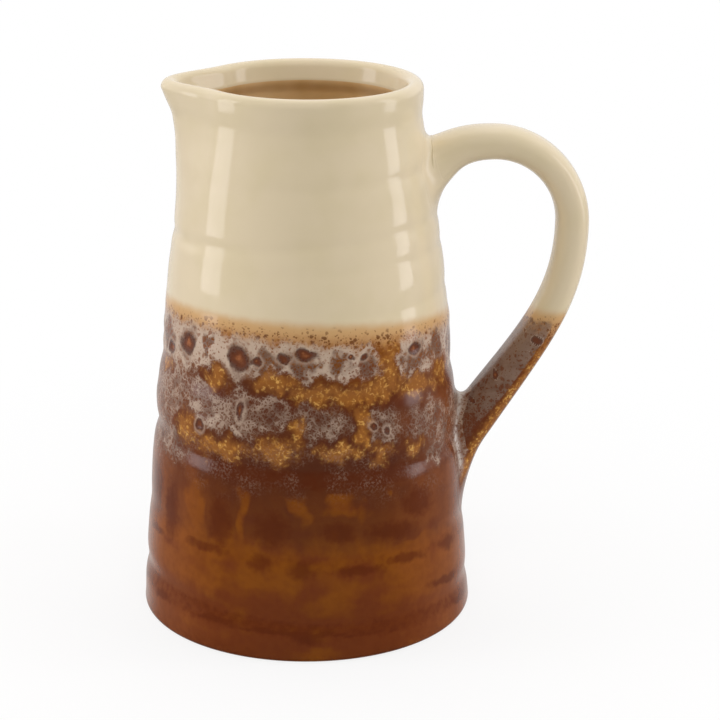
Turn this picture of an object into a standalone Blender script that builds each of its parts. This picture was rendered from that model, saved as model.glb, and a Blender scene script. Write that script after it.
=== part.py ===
"""Stoneware jug: a thrown body with a pulled lip, and a strap handle luted on at its two roots.

Metres, +Z up. The origin is the centre of the base, on the surface the jug stands on.
The handle points along +X and the pouring lip along -X.
"""

import math

import bmesh
import bpy
import numpy as np

# Thrown body
JUG_HEIGHT = 0.225
FOOT_RADIUS = 0.070
FOOT_EDGE = 0.002
NECK_RADIUS = 0.0470
WALL_SWELL = 0.0025
WALL_THICKNESS = 0.0055
FLOOR_THICKNESS = 0.008
FLOOR_FILLET = 0.012
RIM_RADIUS = 0.0472
RIM_THICKNESS = 0.0082
RIM_COLLAR = 0.014

# Throwing rings: shallow grooves left by the fingers up the outside of the wall
RING_FIRST = 0.017
RING_PITCH = 0.0302
RING_DEPTH = 0.0011

# Lip pulled out of the rim
LIP_REACH = 0.0112
LIP_BLEND = 0.060
LIP_HALF_ANGLE = math.radians(40.0)
LIP_TIP_ANGLE = math.radians(14.0)

# Strap handle
HANDLE_WIDTH = 0.022
HANDLE_THICKNESS = 0.0135
UPPER_ROOT_DEPTH = 0.0255
UPPER_ROOT_WIDTH = 0.027
UPPER_ROOT_FADE = 0.0070
LOWER_ROOT_DEPTH = 0.0175
LOWER_ROOT_WIDTH = 0.024
LOWER_ROOT_FADE = 0.0453
UPPER_ROOT_DROP = 0.0364
UPPER_ROOT_ANGLE = math.radians(47.0)
CREST_RISE = 0.01075
CREST_STANDOFF = 0.0271
REACH_DROP = 0.0594
REACH_STANDOFF = 0.0548
LOWER_ROOT_HEIGHT = 0.0715
LOWER_ROOT_ANGLE = math.radians(-57.0)

# How far each stretch of the handle holds its direction, as shares of that stretch's rise or drop
CLIMB_PULL = 0.34
CREST_PULL = 0.54
REACH_PULL = 0.384
FALL_PULL = 0.527
QUARTER_ROUND_PULL = 0.5523

# Clay coils pressed round the handle's roots, and how far they are thumbed out below each root
UPPER_JOINT_SIZE = 0.0055
UPPER_JOINT_TAIL = 0.0080
LOWER_JOINT_SIZE = 0.0055
LOWER_JOINT_TAIL = 0.0130

# Clearance between pieces that touch
SEAT_GAP = 0.0004

# Glazes
GLAZE_LINE = 0.131
CREAM_GLAZE = (0.66, 0.56, 0.36, 1.0)
BROWN_GLAZE = (0.23, 0.075, 0.018, 1.0)
BARE_CLAY = (0.55, 0.42, 0.30, 1.0)
GLAZE_ROUGHNESS = 0.18
CLAY_ROUGHNESS = 0.85

# Shares that shape the wall's swell, the strap's section and the coils' hollow
SWELL_SKEW = 0.6
STRAP_SQUARENESS = 2.4
COIL_FULLNESS = 0.4

# Fineness of the meshes
TURN_STEPS = 72
RING_SAMPLES = 5
ARC_SAMPLES = 8
INNER_SAMPLES = 12
SECTION_SAMPLES = 24
HANDLE_ROWS = 34
CAP_RINGS = 3
FILLET_SAMPLES = 4
PATH_SAMPLES = 120
FOOT_SAMPLES = 3
ROOT_CROWDING = 0.1
MERGE_DISTANCE = 0.00001
SMOOTH_BELOW = math.radians(50.0)

COLLAR_HEIGHT = JUG_HEIGHT - RIM_COLLAR


def clear_scene():
    """Removes every object and collection, so that the script can be run again in the same file."""
    for old in list(bpy.data.objects):
        bpy.data.objects.remove(old, do_unlink=True)
    for old in list(bpy.data.collections):
        bpy.data.collections.remove(old)


def principled(name, colour, roughness):
    """Returns a material with one Principled BSDF."""
    material = bpy.data.materials.new(name)
    material.use_nodes = True
    shader = material.node_tree.nodes["Principled BSDF"]
    shader.inputs["Base Color"].default_value = colour
    shader.inputs["Roughness"].default_value = roughness
    shader.inputs["Metallic"].default_value = 0.0
    return material


def plain_wall_radius(height):
    """Outer radius of the wall without its rings: a cone from foot to neck that swells a little."""
    share = (height - FOOT_EDGE) / (COLLAR_HEIGHT - FOOT_EDGE)
    cone = FOOT_RADIUS + (NECK_RADIUS - FOOT_RADIUS) * share
    bow = 4.0 * WALL_SWELL * share * (1.0 - share)
    return cone + bow * (1.0 + SWELL_SKEW * (2.0 * share - 1.0))


def wall_outline():
    """Heights and outer radii of the wall with its rings, from the foot up to the collar."""
    wall = COLLAR_HEIGHT - FOOT_EDGE
    count = max(2, round(RING_SAMPLES * wall / RING_PITCH))
    heights = np.linspace(FOOT_EDGE, COLLAR_HEIGHT, count + 1)
    grooves = np.cos(2.0 * math.pi * (heights - RING_FIRST) / RING_PITCH)
    share = (heights - FOOT_EDGE) / wall
    fade = np.sqrt(np.clip(4.0 * share * (1.0 - share), 0.0, 1.0))
    return heights, plain_wall_radius(heights) - 0.5 * RING_DEPTH * fade * grooves


WALL_HEIGHTS, WALL_RADII = wall_outline()


def wall_radius(height):
    """Outer radius of the wall as it is meshed, for what is seated on it."""
    return np.interp(height, WALL_HEIGHTS, WALL_RADII)


def arc(centre, radius, start, stop, count):
    """Points of a circular arc in the profile's plane, as (radius, height) pairs."""
    angles = np.linspace(start, stop, count + 1)
    return [(centre[0] + radius * math.cos(a), centre[1] + radius * math.sin(a)) for a in angles]


def body_profile():
    """Outline of the body's section: out over the floor, up inside, over the rim, down and back below."""
    roll = 0.5 * RIM_THICKNESS
    floor_edge = plain_wall_radius(FLOOR_THICKNESS + FLOOR_FILLET) - WALL_THICKNESS
    inside = np.linspace(FLOOR_THICKNESS + FLOOR_FILLET, COLLAR_HEIGHT, INNER_SAMPLES + 1)
    collar = np.linspace(0.0, 1.0, ARC_SAMPLES // 2 + 1)
    neck_inside = plain_wall_radius(COLLAR_HEIGHT) - WALL_THICKNESS
    throat = RIM_RADIUS - RIM_THICKNESS
    quarter = 0.5 * math.pi

    points = [(0.0, FLOOR_THICKNESS)]
    corner = (floor_edge - FLOOR_FILLET, FLOOR_THICKNESS + FLOOR_FILLET)
    points += arc(corner, FLOOR_FILLET, -quarter, 0.0, ARC_SAMPLES // 2)
    points += [(plain_wall_radius(z) - WALL_THICKNESS, z) for z in inside[1:]]
    for share in collar[1:-1]:
        eased = 0.5 - 0.5 * math.cos(math.pi * share)
        height = COLLAR_HEIGHT + (RIM_COLLAR - roll) * share
        points.append((neck_inside + (throat - neck_inside) * eased, height))
    points += arc((throat + roll, JUG_HEIGHT - roll), roll, math.pi, 0.0, ARC_SAMPLES)
    points += list(zip(WALL_RADII[::-1], WALL_HEIGHTS[::-1]))
    under = arc((FOOT_RADIUS - FOOT_EDGE, FOOT_EDGE), FOOT_EDGE, 0.0, -quarter, FOOT_SAMPLES)
    points += under[1:]
    points.append((0.0, 0.0))
    return points


def revolve(name, profile):
    """Turns an outline about the Z axis with a Screw modifier and returns the closed mesh."""
    outline = bpy.data.meshes.new(name)
    edges = [(i, i + 1) for i in range(len(profile) - 1)]
    outline.from_pydata([(radius, 0.0, height) for radius, height in profile], edges, [])
    blank = bpy.data.objects.new(name + "_outline", outline)
    bpy.context.scene.collection.objects.link(blank)
    turn = blank.modifiers.new("turn", "SCREW")
    turn.steps = TURN_STEPS
    turn.render_steps = TURN_STEPS
    turn.use_merge_vertices = True
    turn.merge_threshold = MERGE_DISTANCE
    graph = bpy.context.evaluated_depsgraph_get()
    mesh = bpy.data.meshes.new_from_object(blank.evaluated_get(graph))
    bpy.data.objects.remove(blank, do_unlink=True)
    return mesh


def pull_lip(mesh):
    """Draws the rim out along -X.

    In plan the pulled rim follows the two tangents from the tip to the rim circle. The rolled edge moves out
    whole, and below it the pull fades with the square of the height above the start of the blend.
    """
    points = np.empty(len(mesh.vertices) * 3)
    mesh.vertices.foreach_get("co", points)
    points = points.reshape(-1, 3)
    radius = np.hypot(points[:, 0], points[:, 1])
    angle = np.abs(np.arctan2(points[:, 1], -points[:, 0]))
    rounded = np.minimum(np.hypot(angle, LIP_TIP_ANGLE), LIP_HALF_ANGLE)
    plan = 1.0 / np.cos(LIP_HALF_ANGLE - rounded) - 1.0
    plan /= 1.0 / math.cos(LIP_HALF_ANGLE - LIP_TIP_ANGLE) - 1.0
    full_pull = JUG_HEIGHT - 0.5 * RIM_THICKNESS
    start = JUG_HEIGHT - LIP_BLEND
    rise = np.clip((points[:, 2] - start) / (full_pull - start), 0.0, 1.0)
    shift = LIP_REACH * plan * rise**2
    growth = np.divide(shift, radius, out=np.zeros_like(radius), where=radius > MERGE_DISTANCE)
    points[:, :2] *= 1.0 + growth[:, None]
    mesh.vertices.foreach_set("co", points.ravel())


def bezier(start, start_pull, stop_pull, stop):
    """Points of one cubic Bezier stretch, without its last point."""
    t = np.linspace(0.0, 1.0, PATH_SAMPLES, endpoint=False)[:, None]
    s = 1.0 - t
    corners = [np.array(p) for p in (start, start_pull, stop_pull, stop)]
    return s**3 * corners[0] + 3.0 * s**2 * t * corners[1] + 3.0 * s * t**2 * corners[2] + t**3 * corners[3]


def handle_path():
    """Centre line of the handle in the XZ plane, run on past the wall at both roots."""
    upper_z = JUG_HEIGHT - UPPER_ROOT_DROP
    crest_z = upper_z + CREST_RISE
    reach_z = JUG_HEIGHT - REACH_DROP
    upper = np.array((wall_radius(upper_z), upper_z))
    crest = np.array((wall_radius(crest_z) + CREST_STANDOFF, crest_z))
    reach = np.array((wall_radius(reach_z) + REACH_STANDOFF, reach_z))
    lower = np.array((wall_radius(LOWER_ROOT_HEIGHT), LOWER_ROOT_HEIGHT))
    leave = np.array((math.cos(UPPER_ROOT_ANGLE), math.sin(UPPER_ROOT_ANGLE)))
    enter = np.array((-math.cos(LOWER_ROOT_ANGLE), math.sin(LOWER_ROOT_ANGLE)))
    rise = crest[0] - upper[0]
    drop = reach_z - LOWER_ROOT_HEIGHT

    before = upper - leave * UPPER_ROOT_DEPTH
    after = lower + enter * 2.0 * LOWER_ROOT_DEPTH
    run_in = bezier(before, before + (upper - before) / 3.0, upper - (upper - before) / 3.0, upper)
    climb = bezier(upper, upper + leave * CLIMB_PULL * rise, crest - (CREST_PULL * rise, 0.0), crest)
    crest_pull = crest + (QUARTER_ROUND_PULL * (reach[0] - crest[0]), 0.0)
    reach_pull = reach + (0.0, QUARTER_ROUND_PULL * (crest_z - reach_z))
    over = bezier(crest, crest_pull, reach_pull, reach)
    fall = bezier(reach, reach - (0.0, REACH_PULL * drop), lower - enter * FALL_PULL * drop, lower)
    run_out = bezier(lower, lower + (after - lower) / 3.0, after - (after - lower) / 3.0, after)
    return np.concatenate((run_in, climb, over, fall, run_out, after[None, :]))


def handle_surface():
    """Skin of the handle: a rounded strap section carried along the centre line and flared at the upper root.

    Returns points and outward directions, both shaped (along the path, round the section, xyz).
    """
    path = handle_path()
    steps = np.linalg.norm(np.diff(path, axis=0), axis=1)
    along = np.concatenate(([0.0], np.cumsum(steps)))
    tangent = np.gradient(path, along, axis=0)
    tangent /= np.linalg.norm(tangent, axis=1)[:, None]
    upper = np.exp(-np.maximum(along - along[PATH_SAMPLES], 0.0) / UPPER_ROOT_FADE)
    lower = np.exp(-((np.maximum(along[-1 - PATH_SAMPLES] - along, 0.0) / LOWER_ROOT_FADE) ** 2))
    level = tangent * (1.0 - upper[:, None])
    level[:, 0] += upper
    level /= np.linalg.norm(level, axis=1)[:, None]
    outward = np.stack((-level[:, 1], level[:, 0]), axis=1)
    half_thick = 0.5 * HANDLE_THICKNESS
    half_thick = half_thick + 0.5 * (UPPER_ROOT_DEPTH - HANDLE_THICKNESS) * upper
    half_thick = half_thick + 0.5 * (LOWER_ROOT_DEPTH - HANDLE_THICKNESS) * lower
    half_wide = 0.5 * HANDLE_WIDTH
    half_wide = half_wide + 0.5 * (UPPER_ROOT_WIDTH - HANDLE_WIDTH) * upper
    half_wide = half_wide + 0.5 * (LOWER_ROOT_WIDTH - HANDLE_WIDTH) * lower

    turn = np.linspace(0.0, 2.0 * math.pi, SECTION_SAMPLES, endpoint=False)
    power = 2.0 / STRAP_SQUARENESS
    up = np.sign(np.cos(turn)) * np.abs(np.cos(turn)) ** power
    side = np.sign(np.sin(turn)) * np.abs(np.sin(turn)) ** power
    across = half_thick[:, None] * up
    points = np.empty((len(path), SECTION_SAMPLES, 3))
    points[:, :, 0] = path[:, 0, None] + outward[:, 0, None] * across
    points[:, :, 1] = half_wide[:, None] * side
    points[:, :, 2] = path[:, 1, None] + outward[:, 1, None] * across

    facing = np.empty_like(points)
    facing[:, :, 0] = outward[:, 0, None] * np.cos(turn)
    facing[:, :, 1] = np.sin(turn)
    facing[:, :, 2] = outward[:, 1, None] * np.cos(turn)
    return points, facing


def read_along(grid, rows):
    """Values of a grid at fractional rows: rows is shaped (any, round the section)."""
    low = np.clip(np.floor(rows).astype(int), 0, grid.shape[0] - 2)
    part = (rows - low)[..., None]
    column = np.arange(grid.shape[1])
    return grid[low, column] * (1.0 - part) + grid[low + 1, column] * part


def seat_rows(points):
    """Fractional rows at which each line of the skin leaves the wall at the top and meets it below."""
    clear = np.hypot(points[:, :, 0], points[:, :, 1]) - wall_radius(points[:, :, 2]) - SEAT_GAP
    middle = points.shape[0] // 2
    column = np.arange(points.shape[1])
    last_in = middle - 1 - np.argmax(clear[:middle][::-1] <= 0.0, axis=0)
    leaves = last_in + clear[last_in, column] / (clear[last_in, column] - clear[last_in + 1, column])
    first_in = middle + np.argmax(clear[middle:] <= 0.0, axis=0)
    before = clear[first_in - 1, column]
    meets = first_in - 1 + before / (before - clear[first_in, column])
    return leaves, meets


def on_wall(angle, height):
    """Points on the wall's outside, one seat gap clear of it."""
    radius = wall_radius(height) + SEAT_GAP
    return np.stack((radius * np.cos(angle), radius * np.sin(angle), height), axis=-1)


def cap_rings(ring):
    """Rings that close a root's end over the wall, from its edge inwards, and the middle point."""
    angle = np.arctan2(ring[:, 1], ring[:, 0])
    height = ring[:, 2]
    middle = (angle.mean(), height.mean())
    shares = np.linspace(1.0, 0.0, CAP_RINGS + 1)[1:]
    rings = [
        on_wall(middle[0] + share * (angle - middle[0]), middle[1] + share * (height - middle[1]))
        for share in shares
    ]
    return rings[:-1], rings[-1][:1]


def mesh_from(name, points, faces):
    """Makes a mesh whose faces all point outwards."""
    mesh = bpy.data.meshes.new(name)
    mesh.from_pydata([tuple(p) for p in points], [], faces)
    shape = bmesh.new()
    shape.from_mesh(mesh)
    bmesh.ops.recalc_face_normals(shape, faces=shape.faces)
    shape.to_mesh(mesh)
    shape.free()
    return mesh


def band_faces(first, second, count):
    """Quads between two rings of points that start at the given numbers."""
    following = [(i + 1) % count for i in range(count)]
    return [(first + i, first + j, second + j, second + i) for i, j in enumerate(following)]


def fan_faces(pole, ring, count):
    """Triangles between a middle point and a ring."""
    return [(pole, ring + i, ring + (i + 1) % count) for i in range(count)]


def make_handle_mesh(points):
    """Lofts the handle between its two seats and closes both ends over the wall."""
    leaves, meets = seat_rows(points)
    share = np.linspace(0.0, 1.0, HANDLE_ROWS + 1)
    eased = share - ROOT_CROWDING * np.sin(2.0 * math.pi * share)
    skin = read_along(points, leaves + eased[:, None] * (meets - leaves))
    top_rings, top_pole = cap_rings(skin[0])
    low_rings, low_pole = cap_rings(skin[-1])
    rings = top_rings[::-1] + list(skin) + low_rings
    count = SECTION_SAMPLES
    vertices = np.concatenate([top_pole, *rings, low_pole])
    faces = fan_faces(0, 1, count)
    for row in range(len(rings) - 1):
        faces += band_faces(1 + row * count, 1 + (row + 1) * count, count)
    faces += fan_faces(len(vertices) - 1, 1 + (len(rings) - 1) * count, count)
    return mesh_from("handle", vertices, faces)


def edge_normals(angle, height):
    """Outward directions of a closed curve on the wall, in the wall's unrolled plane."""
    run = wall_radius(height.mean()) * angle
    step_run = np.roll(run, -1) - np.roll(run, 1)
    step_up = np.roll(height, -1) - np.roll(height, 1)
    normal = np.stack((step_up, -step_run), axis=-1)
    normal /= np.linalg.norm(normal, axis=1)[:, None]
    away = np.stack((run - run.mean(), height - height.mean()), axis=-1)
    turned = np.sign(np.sum(normal * away, axis=1).sum())
    return turned * normal


def shifted_on_wall(angle, height, normal, distance):
    """A closed curve on the wall grown outwards by a distance."""
    grown_height = height + distance * normal[:, 1]
    grown_angle = angle + distance * normal[:, 0] / wall_radius(height.mean())
    return on_wall(grown_angle, grown_height)


def make_joint_mesh(name, points, facing, rows, direction, side_size, tail_size):
    """Fillet ring round a root: one side lies on the wall, one on the handle, and the third is hollow.

    rows are the seats of the handle's lines, and direction is +1 or -1 along the handle away from the wall.
    The fillet's size is side_size above and beside the root, and grows to tail_size straight below it.
    """
    root = read_along(points, rows)
    angle = np.arctan2(root[:, 1], root[:, 0])
    height = root[:, 2]
    normal = edge_normals(angle, height)
    size = side_size + (tail_size - side_size) * np.maximum(-normal[:, 1], 0.0) ** 2
    inner = shifted_on_wall(angle, height, normal, SEAT_GAP)
    middle_foot = shifted_on_wall(angle, height, normal, 0.5 * size)
    foot = shifted_on_wall(angle, height, normal, size)

    reach = np.arange(PATH_SAMPLES)[:, None]
    lines = read_along(points, rows + direction * reach)
    walked = np.concatenate((np.zeros((1, SECTION_SAMPLES)), np.linalg.norm(np.diff(lines, axis=0), axis=2)))
    walked = np.cumsum(walked, axis=0)
    column = np.arange(SECTION_SAMPLES)

    def on_handle(distance):
        past = np.argmax(walked >= distance, axis=0)
        extra = (distance - walked[past - 1, column]) / (walked[past, column] - walked[past - 1, column])
        at = rows + direction * (past - 1 + extra)
        return read_along(points, at) + SEAT_GAP * read_along(facing, at)

    top = on_handle(size)
    middle_top = on_handle(0.5 * size)
    hollow = inner + COIL_FULLNESS * (0.5 * (foot + top) - inner)
    rings = [inner, middle_foot, foot]
    for t in np.linspace(0.0, 1.0, FILLET_SAMPLES + 1)[1:-1]:
        rings.append((1.0 - t) ** 2 * foot + 2.0 * t * (1.0 - t) * hollow + t**2 * top)
    rings += [top, middle_top]
    count = SECTION_SAMPLES
    faces = []
    for row in range(len(rings)):
        faces += band_faces(row * count, (row + 1) % len(rings) * count, count)
    return mesh_from(name, np.concatenate(rings), faces)


def add_piece(collection, name, mesh, materials, pick):
    """Adds a named piece with its materials; pick gives the material number for a face's middle."""
    for material in materials:
        mesh.materials.append(material)
    for face in mesh.polygons:
        face.material_index = pick(face.center)
    mesh.shade_smooth()
    mesh.set_sharp_from_angle(angle=SMOOTH_BELOW)
    piece = bpy.data.objects.new(name, mesh)
    collection.objects.link(piece)


def glaze_number(centre):
    """Number of the glaze at a point: 0 is the cream above the glaze line and 1 the brown below it."""
    return int(centre.z < GLAZE_LINE)


def body_number(centre):
    """Number of the body's finish at a point: one of the glazes, or 2 for the bare clay it stands on."""
    return 2 if centre.z < 0.5 * FOOT_EDGE else glaze_number(centre)


def main():
    """Builds the jug's four pieces in a collection of their own."""
    clear_scene()
    jug = bpy.data.collections.new("stoneware_jug")
    bpy.context.scene.collection.children.link(jug)

    cream = principled("cream_glaze", CREAM_GLAZE, GLAZE_ROUGHNESS)
    brown = principled("brown_glaze", BROWN_GLAZE, GLAZE_ROUGHNESS)
    clay = principled("bare_clay", BARE_CLAY, CLAY_ROUGHNESS)
    glazes = (cream, brown)

    body = revolve("jug_body", body_profile())
    pull_lip(body)
    add_piece(jug, "jug_body", body, (cream, brown, clay), body_number)

    points, facing = handle_surface()
    leaves, meets = seat_rows(points)
    add_piece(jug, "handle", make_handle_mesh(points), glazes, glaze_number)
    upper_sizes = (UPPER_JOINT_SIZE, UPPER_JOINT_TAIL)
    upper = make_joint_mesh("upper_handle_joint", points, facing, leaves, 1, *upper_sizes)
    add_piece(jug, "upper_handle_joint", upper, glazes, glaze_number)
    lower_sizes = (LOWER_JOINT_SIZE, LOWER_JOINT_TAIL)
    lower = make_joint_mesh("lower_handle_joint", points, facing, meets, -1, *lower_sizes)
    add_piece(jug, "lower_handle_joint", lower, glazes, glaze_number)


main()
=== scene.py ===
"""Looks of a thrown stoneware jug: a cream glaze above, and a reactive brown glaze below a dipped line.

Everything is in metres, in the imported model's frame: +Z is up, the handle points along +X and the pouring
lip along -X. Lists of glaze marks are in millimetres and degrees. Azimuth 0 faces -Y, and +90 the handle.
"""

import logging
import math
from dataclasses import dataclass, field
from enum import Enum

import bpy
import numpy as np
from mathutils import Matrix, Vector

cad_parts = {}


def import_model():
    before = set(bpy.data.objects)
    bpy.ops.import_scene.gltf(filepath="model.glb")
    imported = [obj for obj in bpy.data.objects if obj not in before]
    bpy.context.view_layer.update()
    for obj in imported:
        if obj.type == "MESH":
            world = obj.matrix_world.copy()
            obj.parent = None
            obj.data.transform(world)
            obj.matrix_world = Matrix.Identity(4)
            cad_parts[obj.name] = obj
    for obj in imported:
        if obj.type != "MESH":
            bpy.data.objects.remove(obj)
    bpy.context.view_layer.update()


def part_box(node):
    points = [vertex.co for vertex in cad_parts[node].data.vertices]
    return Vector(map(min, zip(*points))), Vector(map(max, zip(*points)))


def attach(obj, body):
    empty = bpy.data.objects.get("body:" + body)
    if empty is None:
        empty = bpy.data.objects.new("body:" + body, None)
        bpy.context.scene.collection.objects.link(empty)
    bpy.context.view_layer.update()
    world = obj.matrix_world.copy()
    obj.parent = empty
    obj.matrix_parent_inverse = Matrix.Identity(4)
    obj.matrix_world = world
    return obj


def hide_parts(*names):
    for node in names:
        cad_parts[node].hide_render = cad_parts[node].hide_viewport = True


Array = np.ndarray
Number = float | Array
Socket = bpy.types.NodeSocket
Value = float | tuple[float, ...] | Socket
Triple = tuple[float, float, float]
Quad = tuple[float, float, float, float]

MM = 0.001
FULL_TURN = 2.0 * math.pi
QUARTER_TURN = 0.5 * math.pi
# Distance from a mark, in its radii, past which it no longer counts.
FAR = 3.0
# How often each wave of the glaze's uneven edges goes round the wall.
WAVES = (19, 26, 33, 41, 52)
# Places of the colour sockets on a Mix node.
MIX_FIRST, MIX_SECOND, MIX_RESULT = 6, 7, 2
# Strength of the fine relief on each kind of piece, and how far the handle's foam is greyed.
BODY_RELIEF, HANDLE_RELIEF, JOINT_RELIEF, HANDLE_DUSK = 1.0, 0.8, 0.6, 0.8
GLAZE_IOR = 1.5
BODY = "root"
LOG = logging.getLogger("stoneware_jug")


class Mark(Enum):
    """Names of the values that each piece carries at its points for the glaze to read."""

    DEPTH = "glaze_depth"
    FOAM = "glaze_foam"
    LOBE = "glaze_lobe"
    GOLD = "glaze_gold"
    CRATER = "glaze_crater"
    # Pool carries pooled glaze together with painted shade and reflection in the grooves.
    POOL = "glaze_pool_and_shade"
    SEAM = "glaze_seam"
    INSIDE = "glaze_inside"

    @property
    def socket(self) -> str:
        """Name of the glaze group's input that reads the value."""
        return self.name.title()


Fields = dict[Mark, Array]


def smooth(value: Array, low: float, high: float) -> Array:
    """Smooth step: 0 below low, 1 above high, and 3t^2 - 2t^3 between them."""
    t = np.clip((value - low) / (high - low), 0.0, 1.0)
    return t * t * (3.0 - 2.0 * t)


def blend(start: Number, stop: Number, share: Number) -> Number:
    """What lies a share of the way from start to stop."""
    return (1.0 - share) * start + share * stop


def unit(vectors: Array) -> Array:
    """Rows of vectors, each brought to length 1."""
    return vectors / np.linalg.norm(vectors, axis=1)[:, None]


def round_angles(count: int) -> Array:
    """Angles of so many even steps round a full turn."""
    return np.linspace(0.0, FULL_TURN, count, endpoint=False)


def cubic(t: Array, start: Array, start_pull: Array, stop_pull: Array, stop: Array) -> Array:
    """Cubic Bezier curve: two ends and their pulls, weighted by the Bernstein polynomials of t."""
    s = 1.0 - t
    return s**3 * start + 3.0 * s**2 * t * start_pull + 3.0 * s * t**2 * stop_pull + t**3 * stop


def grid_quads(rows: int, columns: int, ring: bool) -> Array:
    """Corner numbers of the quads between neighbouring points of a grid whose columns go round.

    Args:
        rows: Number of rows in the grid.
        columns: Number of points in a row.
        ring: Whether the last row joins the first.

    Returns:
        Corner numbers, shaped (quads, 4).
    """
    row = np.arange(rows if ring else rows - 1)[:, None] * columns
    above = (row + columns) % (rows * columns)
    column = np.arange(columns)[None, :]
    following = (column + 1) % columns
    corners = (row + column, row + following, above + following, above + column)
    return np.stack(np.broadcast_arrays(*corners), axis=-1).reshape(-1, 4)


def signed_volume(points: Array, quads: Array) -> float:
    """Volume inside a skin: the sum of the tetrahedra between its faces and the origin.

    Args:
        points: Points of the skin.
        quads: Corner numbers of its quads.

    Returns:
        The volume, negative where the faces point inwards.
    """
    a, b, c, d = (points[quads[:, k]] for k in range(4))
    halves = np.sum(a * np.cross(b, c), axis=1) + np.sum(a * np.cross(c, d), axis=1)
    return float(halves.sum() / 6.0)


def add_skin(name: str, grid: Array, fields: Fields, ring: bool = False) -> bpy.types.Object:
    """Makes a closed piece from a grid of points whose columns go round.

    The ends of a tube are closed to the middle of their rows. A ring has no ends.

    Args:
        name: Name of the piece.
        grid: Points, shaped (rows, columns, 3).
        fields: Glaze values at the points, each shaped (rows, columns).
        ring: Whether the last row joins the first.

    Returns:
        The new object, at the origin, with smooth faces that point outwards.
    """
    rows, columns = grid.shape[:2]
    points = grid.reshape(-1, 3)
    values = {mark: np.asarray(value, float).reshape(-1) for mark, value in fields.items()}
    faces = grid_quads(rows, columns, ring)
    fans = np.empty((0, 3), int)
    if not ring:
        first, last = rows * columns, rows * columns + 1
        points = np.concatenate((points, grid[0].mean(0)[None], grid[-1].mean(0)[None]))
        values = {
            mark: np.concatenate((value, [value[:columns].mean()], [value[-columns:].mean()]))
            for mark, value in values.items()
        }
        here = np.arange(columns)
        beyond = (here + 1) % columns
        top = (rows - 1) * columns
        low_fan = np.stack((np.full(columns, first), beyond, here), axis=-1)
        high_fan = np.stack((np.full(columns, last), top + here, top + beyond), axis=-1)
        fans = np.concatenate((low_fan, high_fan))
    if signed_volume(points, faces) < 0.0:
        faces, fans = faces[:, ::-1], fans[:, ::-1]

    mesh = bpy.data.meshes.new(name)
    mesh.vertices.add(len(points))
    mesh.vertices.foreach_set("co", points.astype(np.float32).ravel())
    corners = np.concatenate((faces.ravel(), fans.ravel()))
    mesh.loops.add(len(corners))
    mesh.loops.foreach_set("vertex_index", corners.astype(np.int32))
    sizes = np.concatenate((np.full(len(faces), 4), np.full(len(fans), 3)))
    mesh.polygons.add(len(sizes))
    mesh.polygons.foreach_set("loop_start", (np.cumsum(sizes) - sizes).astype(np.int32))
    mesh.polygons.foreach_set("use_smooth", np.ones(len(sizes), bool))
    mesh.update(calc_edges=True)
    for mark, value in values.items():
        layer = mesh.attributes.new(mark.value, "FLOAT", "POINT")
        layer.data.foreach_set("value", value.astype(np.float32))
    piece = bpy.data.objects.new(name, mesh)
    bpy.context.scene.collection.objects.link(piece)
    return piece


@dataclass(frozen=True)
class Patch:
    """A soft oval on the wall: a lobe of foam, a golden patch, a crater, a bloom, a dark patch of pooled
    glaze and painted shade, or a window.

    Attributes:
        azimuth: Place of its middle round the wall, in degrees.
        depth: Place of its middle below the glaze line, in millimetres.
        half_azimuth: Half its width, in degrees.
        half_depth: Half its height, in millimetres.
    """

    azimuth: float
    depth: float
    half_azimuth: float
    half_depth: float

    def distance(self, azimuth: Array, depth: Array, widen: float = 1.0) -> Array:
        """Distance from the middle as a share of the oval's radius, so that its edge is at 1."""
        turn = (azimuth - self.azimuth + 180.0) % 360.0 - 180.0
        return np.hypot(turn / (widen * self.half_azimuth), (depth - self.depth) / self.half_depth)


def ovals(*sizes: Quad) -> list[Patch]:
    """Patches from their fields in order."""
    return [Patch(*size) for size in sizes]


def nearest(patches: list[Patch], azimuth: Array, depth: Array, widen: float = 1.0) -> Array:
    """Least distance to any of the patches, as a share of that patch's radius.

    Args:
        patches: The patches.
        azimuth: Places round the wall, in degrees.
        depth: Places below the glaze line, in millimetres.
        widen: How many times wider than given the patches are taken to be.

    Returns:
        The distances, up to FAR, shaped as the places are.
    """
    least = np.full(np.broadcast(azimuth, depth).shape, FAR)
    for patch in patches:
        least = np.minimum(least, patch.distance(azimuth, depth, widen))
    return least


def waver(azimuth: Array, depth: Array, seed: int) -> Array:
    """An uneven push: the mean of sine waves that run round the wall at random slants, whole turns each.

    Args:
        azimuth: Places round the wall, in degrees.
        depth: Places below the glaze line, in millimetres.
        seed: Seed of the waves' slants and starts.

    Returns:
        The push, from -1 to 1.
    """
    draw = np.random.default_rng(seed)
    total = np.zeros(np.broadcast(azimuth, depth).shape)
    for turns in WAVES:
        slope, phase = draw.uniform(-0.6, 0.6), draw.uniform(0.0, FULL_TURN)
        total = total + np.sin(turns * np.radians(azimuth) + slope * depth + phase)
    return total / len(WAVES)


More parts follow.
